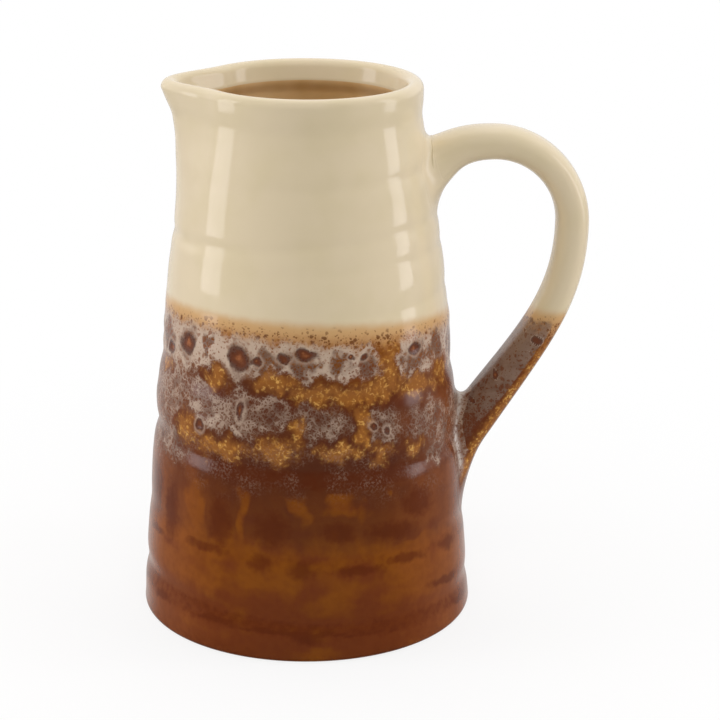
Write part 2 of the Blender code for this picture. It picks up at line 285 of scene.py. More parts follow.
@dataclass
class GlazeLayout:
    """Where the glazes lie: the dipped line, the band's marks below it, and the brown's dark patches (pooled
    glaze and painted groove shade) and windows.

    The jug was dipped at a slant, so the line is a plane. The front's marks are placed one by one. Those of
    the back are scattered by the same rules, from a fixed seed.

    Attributes:
        line_height: Height of the line on the jug's axis, in millimetres.
        line_tilt: Rise of the line per millimetre along X and Y.
        seed: Seed of the scattered marks.
        waver_turn: How far marks waver round the wall, in degrees.
        waver_drop: How far they waver up and down, in millimetres.
        pool_and_shade_waver: Shares of the waver, round and down, that the dark pool and shade patches take.
        crater_waver: The same for craters.
        foam_spread: How much wider the foam is than its lobes, so that they run together.
        groove_need: How deep a groove must be before it is darkened all along it, as pooled glaze and painted
            shade in the groove.
        window_sink: How far a window lowers the pool's value where there is no pool.
        window_spread: Where a window has faded, in its radii.
        bloom_lift: How far a bloom lowers the lobe's value, which keeps the foam pale.
        bloom_spread: Where a bloom has faded, in its radii.
        pool_and_shade_rows: Depths of the scattered rows of dark pool and shade patches.
        band_rows: Depths of each scattered row of foam and of the gold below it, and craters to a lobe.
        drip_depth: Depth of the scattered row of drips and windows.
        foam: Lobes of foam.
        gold: Golden patches.
        craters: Burst craters.
        blooms: Places where the foam stays thick and pale.
        pool_and_shade_patches: Dark patches and drips in the brown: pooled glaze, and painted shade and
            reflection in the grooves.
        windows: Places in the dark belt where honey shows.
    """

    line_height: float = 134.0
    line_tilt: tuple[float, float] = (-0.050, -0.089)
    seed: int = 11
    waver_turn: float = 3.0
    waver_drop: float = 3.0
    pool_and_shade_waver: tuple[float, float] = (0.4, 0.3)
    crater_waver: tuple[float, float] = (0.4, 0.4)
    foam_spread: float = 1.2
    groove_need: float = 0.75
    window_sink: float = 1.6
    window_spread: float = 1.8
    bloom_lift: float = 4.0
    bloom_spread: float = 1.4
    pool_and_shade_rows: tuple[float, ...] = (97.5, 125.0)
    band_rows: tuple[tuple[float, float, int], ...] = ((15.0, 27.0, 2), (38.5, 52.0, 1))
    drip_depth: float = 81.0
    foam: list[Patch] = field(default_factory=lambda: ovals(
        (-71.6, 15.0, 12.4, 11.5), (-51.8, 14.5, 11.2, 10.1), (-39.2, 14.0, 6.9, 9.1),
        (-26.1, 16.6, 9.3, 9.9), (-14.7, 15.9, 7.0, 8.2), (-1.7, 15.6, 9.8, 8.6), (12.8, 15.2, 8.5, 6.2),
        (23.9, 16.3, 7.4, 8.3), (46.5, 15.2, 10.6, 10.9), (61.6, 12.3, 9.8, 10.2), (80.0, 14.0, 11.0, 10.0),
        (-88.0, 14.5, 8.5, 9.5), (-88.0, 37.0, 9.0, 9.0), (-64.4, 37.0, 13.0, 10.5),
        (-41.1, 37.9, 8.4, 9.4), (-25.2, 40.1, 8.9, 10.8), (-11.6, 36.8, 7.2, 8.0), (4.2, 38.1, 9.4, 9.8),
        (28.0, 41.8, 6.8, 8.8), (54.9, 44.0, 10.4, 8.4), (77.0, 42.0, 8.0, 7.0), (-70.0, 55.0, 9.0, 8.0),
        (-57.0, 58.0, 5.5, 6.0), (57.0, 56.0, 5.0, 4.0),
    ))
    gold: list[Patch] = field(default_factory=lambda: ovals(
        (-36.4, 25.3, 6.4, 5.2), (-11.5, 24.6, 11.0, 4.4), (4.0, 28.2, 11.0, 4.6), (16.5, 29.2, 9.0, 5.6),
        (28.5, 26.6, 9.0, 5.6), (33.4, 17.0, 4.6, 11.4), (21.5, 40.1, 3.3, 11.4), (48.5, 26.2, 13.5, 4.6),
        (65.5, 23.6, 6.5, 6.9), (-50.9, 49.9, 6.2, 7.0), (-33.1, 54.0, 13.4, 5.0), (-11.4, 52.1, 9.8, 6.0),
        (-3.1, 43.2, 2.7, 6.0), (12.9, 51.4, 10.0, 4.2), (28.5, 53.0, 5.4, 4.6), (44.0, 52.0, 5.0, 4.0),
        (-72.0, 27.0, 7.0, 3.0),
    ))
    craters: list[Patch] = field(default_factory=lambda: ovals(
        (-53.1, 14.4, 4.5, 4.6), (-26.9, 15.9, 4.3, 5.0), (-0.2, 11.9, 4.2, 2.6), (-66.7, 19.6, 3.0, 3.0),
        (-19.0, 16.4, 2.0, 1.6), (-8.5, 13.7, 2.7, 2.1), (22.0, 12.6, 2.0, 1.6), (17.1, 12.8, 1.2, 1.2),
        (46.3, 11.1, 3.3, 2.1), (-25.3, 37.2, 1.6, 3.3), (31.0, 42.9, 1.7, 1.7), (25.1, 41.2, 1.2, 1.7),
        (-43.2, 46.3, 1.9, 2.8),
    ))
    blooms: list[Patch] = field(default_factory=lambda: ovals(
        (-46.0, 38.5, 8.5, 8.0), (-36.0, 43.0, 8.0, 6.0), (-26.0, 45.5, 9.0, 6.0), (-62.0, 38.0, 8.5, 9.0),
        (-35.6, 15.0, 3.0, 6.5), (-47.0, 16.0, 2.0, 6.0), (-40.5, 22.0, 5.0, 2.6),
    ))
    pool_and_shade_patches: list[Patch] = field(default_factory=lambda: ovals(
        (-38.6, 96.8, 10.5, 2.6), (-15.8, 99.0, 5.0, 4.0), (-1.8, 101.0, 5.6, 4.6),
        (18.0, 100.8, 12.0, 2.6), (38.0, 97.6, 10.0, 2.4), (-1.0, 127.8, 44.0, 1.3),
        (-33.0, 126.6, 11.0, 1.8), (0.2, 129.6, 5.8, 3.8), (-57.6, 87.5, 5.4, 15.0),
        (-32.0, 84.0, 5.2, 13.0), (-12.2, 84.5, 8.0, 8.0), (11.1, 84.5, 7.6, 4.8), (31.5, 85.2, 12.0, 4.8),
        (43.6, 74.6, 8.5, 7.0), (61.0, 97.0, 3.8, 3.8), (58.0, 112.0, 13.0, 2.2),
    ))
    windows: list[Patch] = field(default_factory=lambda: ovals(
        (-43.0, 86.0, 6.4, 14.0), (-23.5, 83.5, 3.4, 12.0), (-3.3, 75.5, 4.6, 6.0), (12.0, 72.2, 5.6, 5.6),
        (19.6, 82.0, 3.2, 7.5), (41.5, 91.0, 10.5, 3.4), (32.5, 69.8, 1.8, 2.0),
    ))

    def __post_init__(self) -> None:
        """Scatters the back's marks: dark pool and shade patches, then foam, gold and craters, then drips and
        windows.
        """
        draw = np.random.default_rng(self.seed)
        for row_depth in self.pool_and_shade_rows:
            for azimuth in np.arange(66.0, 300.0, 21.0):
                middle = row_depth + draw.uniform(-1.5, 1.5)
                width, height = draw.uniform(4.0, 12.0), draw.uniform(1.6, 3.2)
                self.pool_and_shade_patches.append(Patch(azimuth + draw.uniform(-6.0, 6.0), middle, width, height))
        for row_depth, gold_depth, pits in self.band_rows:
            for azimuth in np.arange(97.0, 262.0, 15.0):
                spot = azimuth + draw.uniform(-3.0, 3.0)
                middle = row_depth + draw.uniform(-2.0, 2.0)
                self.foam.append(Patch(spot, middle, draw.uniform(7.0, 10.5), draw.uniform(7.5, 10.0)))
                width, height = draw.uniform(6.0, 12.0), draw.uniform(3.5, 5.0)
                self.gold.append(Patch(spot + 8.0, gold_depth + draw.uniform(-2.5, 2.5), width, height))
                for _ in range(pits):
                    size = draw.uniform(1.3, 4.6)
                    place = spot + draw.uniform(-6.0, 6.0)
                    self.craters.append(Patch(place, middle + draw.uniform(-5.0, 4.0), size, 1.1 * size))
        for azimuth in np.arange(80.0, 290.0, 19.0):
            spot, middle = azimuth + draw.uniform(-5.0, 5.0), self.drip_depth + draw.uniform(-3.0, 4.0)
            self.pool_and_shade_patches.append(Patch(spot, middle, draw.uniform(4.0, 9.0), draw.uniform(5.0, 15.0)))
            self.windows.append(Patch(spot + 9.5, middle, draw.uniform(3.0, 6.0), draw.uniform(5.0, 12.0)))

    def depth(self, points: Array) -> Array:
        """Depth of points below the glaze line, in millimetres: the line's plane less the height."""
        x, y, z = (points[..., k] / MM for k in range(3))
        return self.line_height + self.line_tilt[0] * x + self.line_tilt[1] * y - z

    def wall_fields(self, points: Array, groove: Array, inside: Array) -> Fields:
        """Glaze values on the wall.

        Args:
            points: Points on the wall, in metres.
            groove: How deep in a groove each point is, from 0 to 1.
            inside: 1 inside the jug and 0 outside.

        Returns:
            The values by mark. Foam, lobe and gold are 1 in a patch's middle and 0 at its edge, and foam runs
            together between its patches. Lobe is far below 0 in a bloom. Pool is above 0 in a dark patch and
            along deep grooves, where it stands for pooled glaze and painted shade, and far below 0 in a
            window. A crater's rim is at 1.
        """
        azimuth = np.degrees(np.arctan2(points[..., 0], -points[..., 1]))
        depth = self.depth(points)
        turn = azimuth + self.waver_turn * waver(azimuth, depth, self.seed)
        drop = depth + self.waver_drop * waver(azimuth, depth, self.seed + 1)

        def partly(shares: tuple[float, float]) -> tuple[Array, Array]:
            """Places that take only these shares of the waver round the wall and down it."""
            return blend(azimuth, turn, shares[0]), blend(depth, drop, shares[1])

        pool = 1.0 - nearest(self.pool_and_shade_patches, *partly(self.pool_and_shade_waver))
        # Deep grooves are darkened all along: pooled glaze and painted shade in the groove.
        pool = np.maximum(pool, groove - self.groove_need)
        window = np.clip(1.0 - nearest(self.windows, turn, drop) / self.window_spread, 0.0, 1.0)
        bloom = np.clip(1.0 - nearest(self.blooms, turn, drop) / self.bloom_spread, 0.0, 1.0)
        return {
            Mark.DEPTH: depth,
            Mark.FOAM: 1.0 - nearest(self.foam, turn, drop, self.foam_spread),
            Mark.LOBE: 1.0 - nearest(self.foam, turn, drop) - self.bloom_lift * bloom,
            Mark.GOLD: 1.0 - nearest(self.gold, turn, drop),
            Mark.CRATER: nearest(self.craters, *partly(self.crater_waver)),
            Mark.POOL: pool - self.window_sink * window * (1.0 - smooth(pool, -0.5, 0.1)),
            Mark.SEAM: 0.0 * depth,
            Mark.INSIDE: inside,
        }


@dataclass(frozen=True)
class ThrowingRing:
    """A ridge or groove that the thrower's fingers left round the wall, as a Gaussian in height.

    Attributes:
        left_height: Height of its middle on the lip's side, in millimetres.
        right_height: Height of its middle on the handle's side.
        left_swell: How far the wall swells there on the lip's side, in millimetres; a groove's is negative.
        right_swell: The same on the handle's side.
        spread: Height over which it fades, in millimetres.
    """

    left_height: float
    right_height: float
    left_swell: float
    right_swell: float
    spread: float

    def swell(self, height: Array, side: Array) -> Array:
        """How far the ring swells the wall.

        Args:
            height: Heights, in millimetres.
            side: -1 at the lip, rising to +1 at the handle.

        Returns:
            The swell, in millimetres.
        """
        share = 0.5 * (1.0 + side)
        middle = self.left_height + (self.right_height - self.left_height) * share
        size = self.left_swell + (self.right_swell - self.left_swell) * share
        return size * np.exp(-(((height - middle) / self.spread) ** 2))


@dataclass
class JugBody:
    """The thrown body: floor, tapering wall with its rings, rolled rim and pulled lip.

    Attributes:
        height: Height of the rim's top.
        foot_radius: Radius of the foot.
        foot_edge: Radius of the foot's rounded edge.
        neck_radius: Outer radius where the rim's collar starts.
        wall_swell: How far the wall bows out from a cone, halfway up.
        swell_skew: How much of that bow is moved upwards.
        wall_thickness: Thickness of the wall.
        floor_thickness: Thickness of the floor.
        floor_fillet: Radius of the hollow between floor and wall.
        rim_radius: Outer radius of the rim.
        rim_thickness: Thickness of its roll.
        rim_lean: How far its inner face leans in.
        rim_collar: Height of the upright collar below its top.
        rim_face: Height of its inner face below the roll's middle.
        rim_step: Height over which the inside narrows to that face.
        ease_below: How far below the collar's start the wall begins to turn upright.
        ease_above: How far above it the wall is upright.
        lip_reach: How far the lip's tip is drawn out.
        lip_blend: How far below the rim's top the pull starts.
        lip_half_angle: Angle from the tip to where a tangent from it meets the rim's circle.
        lip_tip_angle: Angle over which the tip is rounded.
        axis_fade: Radius below which the pull fades towards the axis.
        pool_and_shade_sag: How far below a groove its darkening lies: pooled glaze and painted shade in the
            groove.
        pool_and_shade_depth: Depth of a groove that is darkened fully.
        crater_depth: How deep craters are pressed in.
        crater_rim: How far their rims stand up.
        hub: Radius of the small discs that close the floor and the base.
        columns: Points round the wall.
        flat_rows: Rows on the floor and on the base.
        bend_rows: Rows on the floor's fillet and on the foot's edge.
        inner_rows: Rows up the inside.
        step_rows: Rows where it narrows.
        face_rows: Rows on the rim's inner face.
        roll_rows: Rows over the rim.
        wall_rows: Rows down the outside.
        rings: The throwing rings.
    """

    height: float
    foot_radius: float
    foot_edge: float = 2.2 * MM
    neck_radius: float = 47.0 * MM
    wall_swell: float = 2.5 * MM
    swell_skew: float = 0.6
    wall_thickness: float = 5.5 * MM
    floor_thickness: float = 8.0 * MM
    floor_fillet: float = 12.0 * MM
    rim_radius: float = 47.2 * MM
    rim_thickness: float = 7.0 * MM
    rim_lean: float = math.radians(13.0)
    rim_collar: float = 14.0 * MM
    rim_face: float = 4.4 * MM
    rim_step: float = 7.0 * MM
    ease_below: float = 18.0 * MM
    ease_above: float = 8.0 * MM
    lip_reach: float = 11.2 * MM
    lip_blend: float = 60.0 * MM
    lip_half_angle: float = math.radians(40.0)
    lip_tip_angle: float = math.radians(14.0)
    axis_fade: float = 20.0 * MM
    pool_and_shade_sag: float = 3.0 * MM
    pool_and_shade_depth: float = 0.8 * MM
    crater_depth: float = 0.35 * MM
    crater_rim: float = 0.16 * MM
    hub: float = 2.0 * MM
    columns: int = 296
    flat_rows: int = 14
    bend_rows: int = 10
    inner_rows: int = 34
    step_rows: int = 9
    face_rows: int = 7
    roll_rows: int = 25
    wall_rows: int = 212
    rings: list[ThrowingRing] = field(default_factory=lambda: [
        ThrowingRing(3.0, 3.0, -0.75, -0.10, 9.0),
        ThrowingRing(20.5, 14.0, -1.10, -0.80, 4.6),
        ThrowingRing(48.0, 42.0, -0.45, -0.65, 5.2),
        ThrowingRing(66.0, 62.0, 0.25, 0.25, 8.0),
        ThrowingRing(82.2, 77.0, -1.35, -1.30, 4.4),
        ThrowingRing(94.0, 90.0, 0.45, 0.30, 4.6),
        ThrowingRing(111.8, 107.5, -1.00, -0.95, 5.0),
        ThrowingRing(120.0, 115.0, -0.55, -0.15, 3.2),
        ThrowingRing(128.5, 127.5, -0.30, 0.45, 3.8),
        ThrowingRing(139.0, 141.2, -0.05, -0.30, 2.6),
        ThrowingRing(148.0, 150.0, 0.15, 0.25, 5.0),
        ThrowingRing(156.0, 159.2, -0.04, -0.34, 2.6),
        ThrowingRing(163.8, 171.6, -0.66, -0.46, 3.0),
        ThrowingRing(188.0, 191.8, -0.02, -0.90, 3.4),
        ThrowingRing(212.0, 212.0, -0.42, -0.42, 3.6),
    ])

    @property
    def collar_height(self) -> float:
        """Height at which the rim's collar starts."""
        return self.height - self.rim_collar

    def plain_wall(self, height: Number) -> Number:
        """Outer radius without rings: a cone from foot to neck, bowed by a skewed parabola.

        Args:
            height: Heights on the wall.

        Returns:
            The radii there.
        """
        share = (height - self.foot_edge) / (self.collar_height - self.foot_edge)
        cone = self.foot_radius + (self.neck_radius - self.foot_radius) * share
        bow = 4.0 * self.wall_swell * share * (1.0 - share)
        return cone + bow * (1.0 + self.swell_skew * (2.0 * share - 1.0))

    def ring_swell(self, height: Array, side: Array) -> Array:
        """Sum of the rings' swells.

        Args:
            height: Heights on the wall.
            side: Cosine of the angle from the handle.

        Returns:
            How far the wall swells there, in metres.
        """
        total = np.zeros(np.broadcast(height, side).shape)
        for ring in self.rings:
            total = total + MM * ring.swell(height / MM, side)
        return total

    def wall(self, height: Array, side: Array) -> Array:
        """Outer radius of the wall with its rings; round the collar's start it eases into the upright rim.

        Args:
            height: Heights on the wall.
            side: Cosine of the angle from the handle.

        Returns:
            The radii there.
        """
        collar = smooth(height, self.collar_height - self.ease_below, self.collar_height + self.ease_above)
        plain = self.plain_wall(np.minimum(height, self.collar_height))
        return blend(plain, self.rim_radius, collar) + self.ring_swell(height, side)

    def outline(self, side: Array) -> tuple[Array, Array, Array]:
        """The body's section at every column, from the floor's middle up inside, over the rim and back below.

        Args:
            side: Cosine of each column's angle from the handle.

        Returns:
            Radii and heights, shaped (rows, columns), and how far each row is inside, shaped (rows, 1).
        """
        roll = 0.5 * self.rim_thickness
        face_low = self.height - roll - self.rim_face
        face_rise = roll * math.sin(self.rim_lean) + self.rim_face
        face_lean = face_rise * math.tan(self.rim_lean)
        throat = self.rim_radius - roll * (1.0 + math.cos(self.rim_lean)) - face_lean
        step_low = face_low - self.rim_step
        fillet_top = self.floor_thickness + self.floor_fillet
        floor_edge = self.plain_wall(fillet_top) - self.wall_thickness
        quarter = np.linspace(0.0, QUARTER_TURN, self.bend_rows)

        floor_radius = np.linspace(self.hub, floor_edge - self.floor_fillet, self.flat_rows)
        floor = (floor_radius, np.full(self.flat_rows, self.floor_thickness))
        fillet = (
            floor_edge - self.floor_fillet * (1.0 - np.sin(quarter[1:])),
            fillet_top - self.floor_fillet * np.cos(quarter[1:]),
        )
        up_inside = np.linspace(fillet_top, step_low, self.inner_rows)[1:]
        inner = (self.plain_wall(up_inside) - self.wall_thickness, up_inside)
        climb = np.linspace(0.0, 1.0, self.step_rows)[1:]
        eased = 0.5 - 0.5 * np.cos(math.pi * climb)
        neck_inside = self.plain_wall(step_low) - self.wall_thickness
        step = (neck_inside + (throat - neck_inside) * eased, step_low + self.rim_step * climb)
        part = np.linspace(0.0, 1.0, self.face_rows)[1:]
        face = (throat + face_lean * part, face_low + face_rise * part)
        over = np.linspace(math.pi - self.rim_lean, 0.0, self.roll_rows)[1:]
        rim = (self.rim_radius - roll + roll * np.cos(over), self.height - roll + roll * np.sin(over))
        inside_rows = [floor, fillet, inner, step, face, rim]
        radii = np.concatenate([strip[0] for strip in inside_rows])[:, None] + 0.0 * side
        heights = np.concatenate([strip[1] for strip in inside_rows])[:, None] + 0.0 * side

        down = np.linspace(self.height - roll, self.foot_edge, self.wall_rows)[1:, None] + 0.0 * side
        outer = self.wall(down, side)
        turn = quarter[1:, None]
        foot_radius = outer[-1:] - self.foot_edge * (1.0 - np.cos(turn))
        foot_height = self.foot_edge * (1.0 - np.sin(turn)) + 0.0 * side
        inward = np.linspace(0.0, 1.0, self.flat_rows)[1:, None]
        base_radius = blend(foot_radius[-1:], self.hub, inward)
        radii = np.concatenate((radii, outer, foot_radius, base_radius))
        heights = np.concatenate((heights, down, foot_height, 0.0 * base_radius))

        inside = np.zeros((len(radii), 1))
        within = len(floor[0]) + len(fillet[0]) + len(inner[0])
        inside[:within + len(step[0]) - 1] = 1.0
        return radii, heights, inside

    def lip_shift(self, angle: Array, height: Array) -> Array:
        """How far the lip is drawn out.

        In plan the rim follows the two tangents from the tip to the rim's circle. The roll moves out whole,
        and below it the pull fades with the square of the height above the blend's start.

        Args:
            angle: Angles from the handle.
            height: Heights on the wall.

        Returns:
            The shift outwards.
        """
        off_axis = np.abs((angle % FULL_TURN) - math.pi)
        rounded = np.minimum(np.hypot(off_axis, self.lip_tip_angle), self.lip_half_angle)
        plan = 1.0 / np.cos(self.lip_half_angle - rounded) - 1.0
        plan = plan / (1.0 / math.cos(self.lip_half_angle - self.lip_tip_angle) - 1.0)
        start = self.height - self.lip_blend
        full = self.height - 0.5 * self.rim_thickness
        rise = np.clip((height - start) / (full - start), 0.0, 1.0)
        return self.lip_reach * plan * rise**2

    def build(self, glaze: GlazeLayout) -> bpy.types.Object:
        """Turns the outline about Z, draws out the lip and presses the craters into the wall.

        Args:
            glaze: Where the glazes lie.

        Returns:
            The body's object.
        """
        angle = round_angles(self.columns)[None, :]
        side = np.cos(angle)
        radii, heights, inside = self.outline(side)
        # How dark each groove is: pooled glaze and painted shade just below the groove.
        groove = np.clip(-self.ring_swell(heights + self.pool_and_shade_sag, side) / self.pool_and_shade_depth, 0.0, 1.0)
        radii = radii + self.lip_shift(angle, heights) * smooth(radii, 0.0, self.axis_fade)

        def place(radius: Array) -> Array:
            """Points at these radii on every column."""
            return np.stack((radius * np.cos(angle), radius * np.sin(angle), heights), axis=-1)

        fields = glaze.wall_fields(place(radii), groove, inside + 0.0 * angle)
        reach = fields[Mark.CRATER]
        pit = 1.0 - smooth(reach, 0.35, 0.95)
        brim = smooth(reach, 0.75, 1.0) * (1.0 - smooth(reach, 1.05, 1.5))
        outside = 1.0 - smooth(inside, 0.0, 0.01)
        radii = radii + outside * (self.crater_rim * brim - self.crater_depth * pit)
        return add_skin("glazed_body", place(radii), fields)


@dataclass
class StrapHandle:
    """The pulled strap: a rounded section carried along a loop, flared where it was pressed to the wall.

    The loop climbs from the upper root to its crest, turns down at its furthest reach and falls to the lower
    root. It is made of cubic curves, whose pulls are shares of the distance that they cover.

    Attributes:
        body: The body that the handle is joined to.
        width: Width of the strap.
        thickness: Thickness of the strap.
        squareness: Power of its section's superellipse.
        upper_depth: Depth of the section at the upper root.
        upper_width: Its width there.
        upper_fade: Distance over which the upper flare fades.
        upper_drop: How far below the rim's top the upper root is.
        upper_angle: How steeply the loop leaves it.
        crest_rise: How far above the upper root the crest is.
        crest_standoff: How far the crest stands off the wall.
        reach_drop: How far below the rim's top the furthest reach is.
        reach_standoff: How far it stands off the wall.
        lower_depth: Depth of the section at the lower root.
        lower_width: Its width there.
        lower_fade: Distance over which the lower flare fades.
        lower_height: Height of the lower root.
        lower_angle: How steeply the loop comes in there.
        climb_pull: Pull where the loop leaves the upper root.
        crest_pull: Pull before the crest.
        reach_pull: Pull below the furthest reach.
        fall_pull: Pull above the lower root.
        round_pull: Pulls between crest and reach, which make a quarter of an ellipse.
        samples: Points on each stretch of the loop.
        rows: Rows of the finished strap.
        section: Points round the section.
        sink: How far below the wall's skin the ends lie.
        run_start: Depth, in millimetres, from which the glaze ran further on the strap than on the wall.
        run_share: Share of the further depth that counts.
        far_shift: How far the pits of the far flank are moved, in millimetres.
        pit_edge: How steeply the distance from a pit grows past its edge.
        spots: Pits on the flanks: x, z and half sizes, in millimetres.
    """

    body: JugBody
    width: float = 22.0 * MM
    thickness: float = 13.5 * MM
    squareness: float = 2.4
    upper_depth: float = 25.5 * MM
    upper_width: float = 27.0 * MM
    upper_fade: float = 7.0 * MM
    upper_drop: float = 36.4 * MM
    upper_angle: float = math.radians(47.0)
    crest_rise: float = 10.75 * MM
    crest_standoff: float = 27.1 * MM
    reach_drop: float = 59.4 * MM
    reach_standoff: float = 54.8 * MM
    lower_depth: float = 17.5 * MM
    lower_width: float = 24.0 * MM
    lower_fade: float = 45.3 * MM
    lower_height: float = 71.5 * MM
    lower_angle: float = math.radians(-57.0)
    climb_pull: float = 0.34
    crest_pull: float = 0.54
    reach_pull: float = 0.384
    fall_pull: float = 0.527
    round_pull: float = 0.5523
    samples: int = 120
    rows: int = 240
    section: int = 72
    sink: float = 1.5 * MM
    run_start: float = 5.0
    run_share: float = 0.45
    far_shift: float = 4.0
    pit_edge: float = 14.0
    spots: list[Quad] = field(default_factory=lambda: [
        (95.2, 117.9, 2.9, 2.9), (99.4, 122.5, 1.4, 1.4), (94.9, 125.0, 0.9, 0.9), (90.2, 121.3, 0.7, 1.3),
        (91.6, 113.1, 1.1, 1.2), (78.5, 102.5, 1.4, 2.4), (82.6, 103.0, 0.8, 0.9), (79.6, 98.4, 1.3, 0.8),
        (69.0, 91.0, 2.0, 1.4),
    ])

    def stretch(self, start: Array, start_pull: Array, stop_pull: Array, stop: Array) -> Array:
        """One cubic Bezier stretch of the loop, without its last point."""
        t = np.linspace(0.0, 1.0, self.samples, endpoint=False)[:, None]
        return cubic(t, start, start_pull, stop_pull, stop)

    def straight(self, start: Array, stop: Array) -> Array:
        """One straight stretch of the loop, without its last point."""
        third = (stop - start) / 3.0
        return self.stretch(start, start + third, stop - third, stop)

    def path(self) -> Array:
        """Centre line in the XZ plane: in through the wall, up, over, down and back into the wall.

        Returns:
            Its points, shaped (points, 2).
        """
        plain = self.body.plain_wall
        upper_z = self.body.height - self.upper_drop
        crest_z = upper_z + self.crest_rise
        reach_z = self.body.height - self.reach_drop
        upper = np.array((plain(upper_z), upper_z))
        crest = np.array((plain(crest_z) + self.crest_standoff, crest_z))
        reach = np.array((plain(reach_z) + self.reach_standoff, reach_z))
        lower = np.array((plain(self.lower_height), self.lower_height))
        leave = np.array((math.cos(self.upper_angle), math.sin(self.upper_angle)))
        enter = np.array((-math.cos(self.lower_angle), math.sin(self.lower_angle)))
        rise = crest[0] - upper[0]
        drop = reach_z - self.lower_height
        before = upper - leave * self.upper_depth
        after = lower + enter * 2.0 * self.lower_depth
        across = np.array((self.round_pull * (reach[0] - crest[0]), 0.0))
        above = np.array((0.0, self.round_pull * (crest_z - reach_z)))
        climb_pull = upper + leave * self.climb_pull * rise
        crest_pull = crest - (self.crest_pull * rise, 0.0)
        fall_pull = lower - enter * self.fall_pull * drop
        return np.concatenate((
            self.straight(before, upper),
            self.stretch(upper, climb_pull, crest_pull, crest),
            self.stretch(crest, crest + across, reach + above, reach),
            self.stretch(reach, reach - (0.0, self.reach_pull * drop), fall_pull, lower),
            self.straight(lower, after),
            after[None, :],
        ))

    def skin(self) -> tuple[Array, Array]:
        """The strap's surface along the whole path.

        The section is a superellipse. Near the upper root it stays upright and deepens, and towards the lower
        root it thickens by a Gaussian of the distance.

        Returns:
            Points and outward directions, both shaped (along the path, round the section, xyz).
        """
        path = self.path()
        along = np.concatenate(([0.0], np.cumsum(np.linalg.norm(np.diff(path, axis=0), axis=1))))
        tangent = unit(np.gradient(path, along, axis=0))
        upper = np.exp(-np.maximum(along - along[self.samples], 0.0) / self.upper_fade)
        lower = np.exp(-((np.maximum(along[-1 - self.samples] - along, 0.0) / self.lower_fade) ** 2))
        level = unit(tangent * (1.0 - upper[:, None]) + np.stack((upper, 0.0 * upper), axis=-1))
        outward = np.stack((-level[:, 1], level[:, 0]), axis=1)
        thick = self.thickness + (self.upper_depth - self.thickness) * upper
        thick = 0.5 * (thick + (self.lower_depth - self.thickness) * lower)
        wide = self.width + (self.upper_width - self.width) * upper
        wide = 0.5 * (wide + (self.lower_width - self.width) * lower)

        turn = round_angles(self.section)
        power = 2.0 / self.squareness
        out = np.sign(np.cos(turn)) * np.abs(np.cos(turn)) ** power * thick[:, None]
        points = np.stack((
            path[:, 0, None] + outward[:, 0, None] * out,
            np.sign(np.sin(turn)) * np.abs(np.sin(turn)) ** power * wide[:, None],
            path[:, 1, None] + outward[:, 1, None] * out,
        ), axis=-1)
        facing = np.stack((
            outward[:, 0, None] * np.cos(turn),
            np.sin(turn) + 0.0 * thick[:, None],
            outward[:, 1, None] * np.cos(turn),
        ), axis=-1)
        return points, facing

    def read(self, grid: Array, rows: Array) -> Array:
        """Reads a grid between its rows, along straight lines.

        Args:
            grid: Values, shaped (rows, round the section, any).
            rows: Fractional rows, shaped (any, round the section).

        Returns:
            The values there.
        """
        low = np.clip(np.floor(rows).astype(int), 0, grid.shape[0] - 2)
        part = (rows - low)[..., None]
        column = np.arange(grid.shape[1])
        return blend(grid[low, column], grid[low + 1, column], part)

    def seats(self, points: Array, clearance: float) -> tuple[Array, Array]:
        """Where each line of the skin passes a clearance from the wall.

        Args:
            points: The skin's points.
            clearance: The clearance; inside the wall it is negative.

        Returns:
            Fractional rows at the upper and the lower root.
        """
        side = points[..., 0] / np.hypot(points[..., 0], points[..., 1])
        wall = self.body.wall(points[..., 2], side)
        clear = np.hypot(points[..., 0], points[..., 1]) - wall - clearance
        middle = points.shape[0] // 2
        column = np.arange(points.shape[1])
        last_in = middle - 1 - np.argmax(clear[:middle][::-1] <= 0.0, axis=0)
        leaves = last_in + clear[last_in, column] / (clear[last_in, column] - clear[last_in + 1, column])
        first_in = middle + np.argmax(clear[middle:] <= 0.0, axis=0)
        before = clear[first_in - 1, column]
        return leaves, first_in - 1 + before / (before - clear[first_in, column])

    def fields(self, glaze: GlazeLayout, points: Array) -> Fields:
        """Glaze values on the strap: foam on its flanks, gold where the glaze thins along its outer edge.

        Args:
            glaze: Where the glazes lie.
            points: The finished strap's points.

        Returns:
            The values by mark.
        """
        depth = glaze.depth(points)
        further = self.run_start + self.run_share * (depth - self.run_start)
        run = np.where(depth > self.run_start, further, depth)
        x, z = points[..., 0] / MM, points[..., 2] / MM
        outer = np.cos(round_angles(self.section))[None, :]
        shift = np.where(points[..., 1] > 0.0, self.far_shift, 0.0)
        reach = np.full(depth.shape, FAR)
        for spot_x, spot_z, half_x, half_z in self.spots:
            reach = np.minimum(reach, np.hypot((x - spot_x + shift) / half_x, (z - spot_z + shift) / half_z))
        reach = np.where(reach < 1.0, reach, 1.0 + self.pit_edge * (reach - 1.0))
        gold = 0.95 - 2.5 * np.abs(outer - 0.60) - 2.0 * (1.0 - smooth(depth, 4.0, 16.0))
        foam = 1.25 - 1.5 * smooth(depth, 26.0, 54.0) - 2.2 * smooth(outer, 0.05, 0.50)
        foam = foam - 1.5 * (1.0 - smooth(depth, 2.0, 7.0))
        return {
            Mark.DEPTH: run,
            Mark.FOAM: foam,
            Mark.LOBE: 0.22 + 0.15 * smooth(depth, 12.0, 36.0),
            Mark.GOLD: gold,
            Mark.CRATER: reach,
            # Darker brown away from the strap's outer edge, through the same pool and shade value.
            Mark.POOL: 1.15 * (1.0 - smooth(outer, 0.2, 0.6)) * smooth(depth, 6.0, 14.0),
            Mark.SEAM: 0.0 * depth,
            Mark.INSIDE: 0.0 * depth,
        }

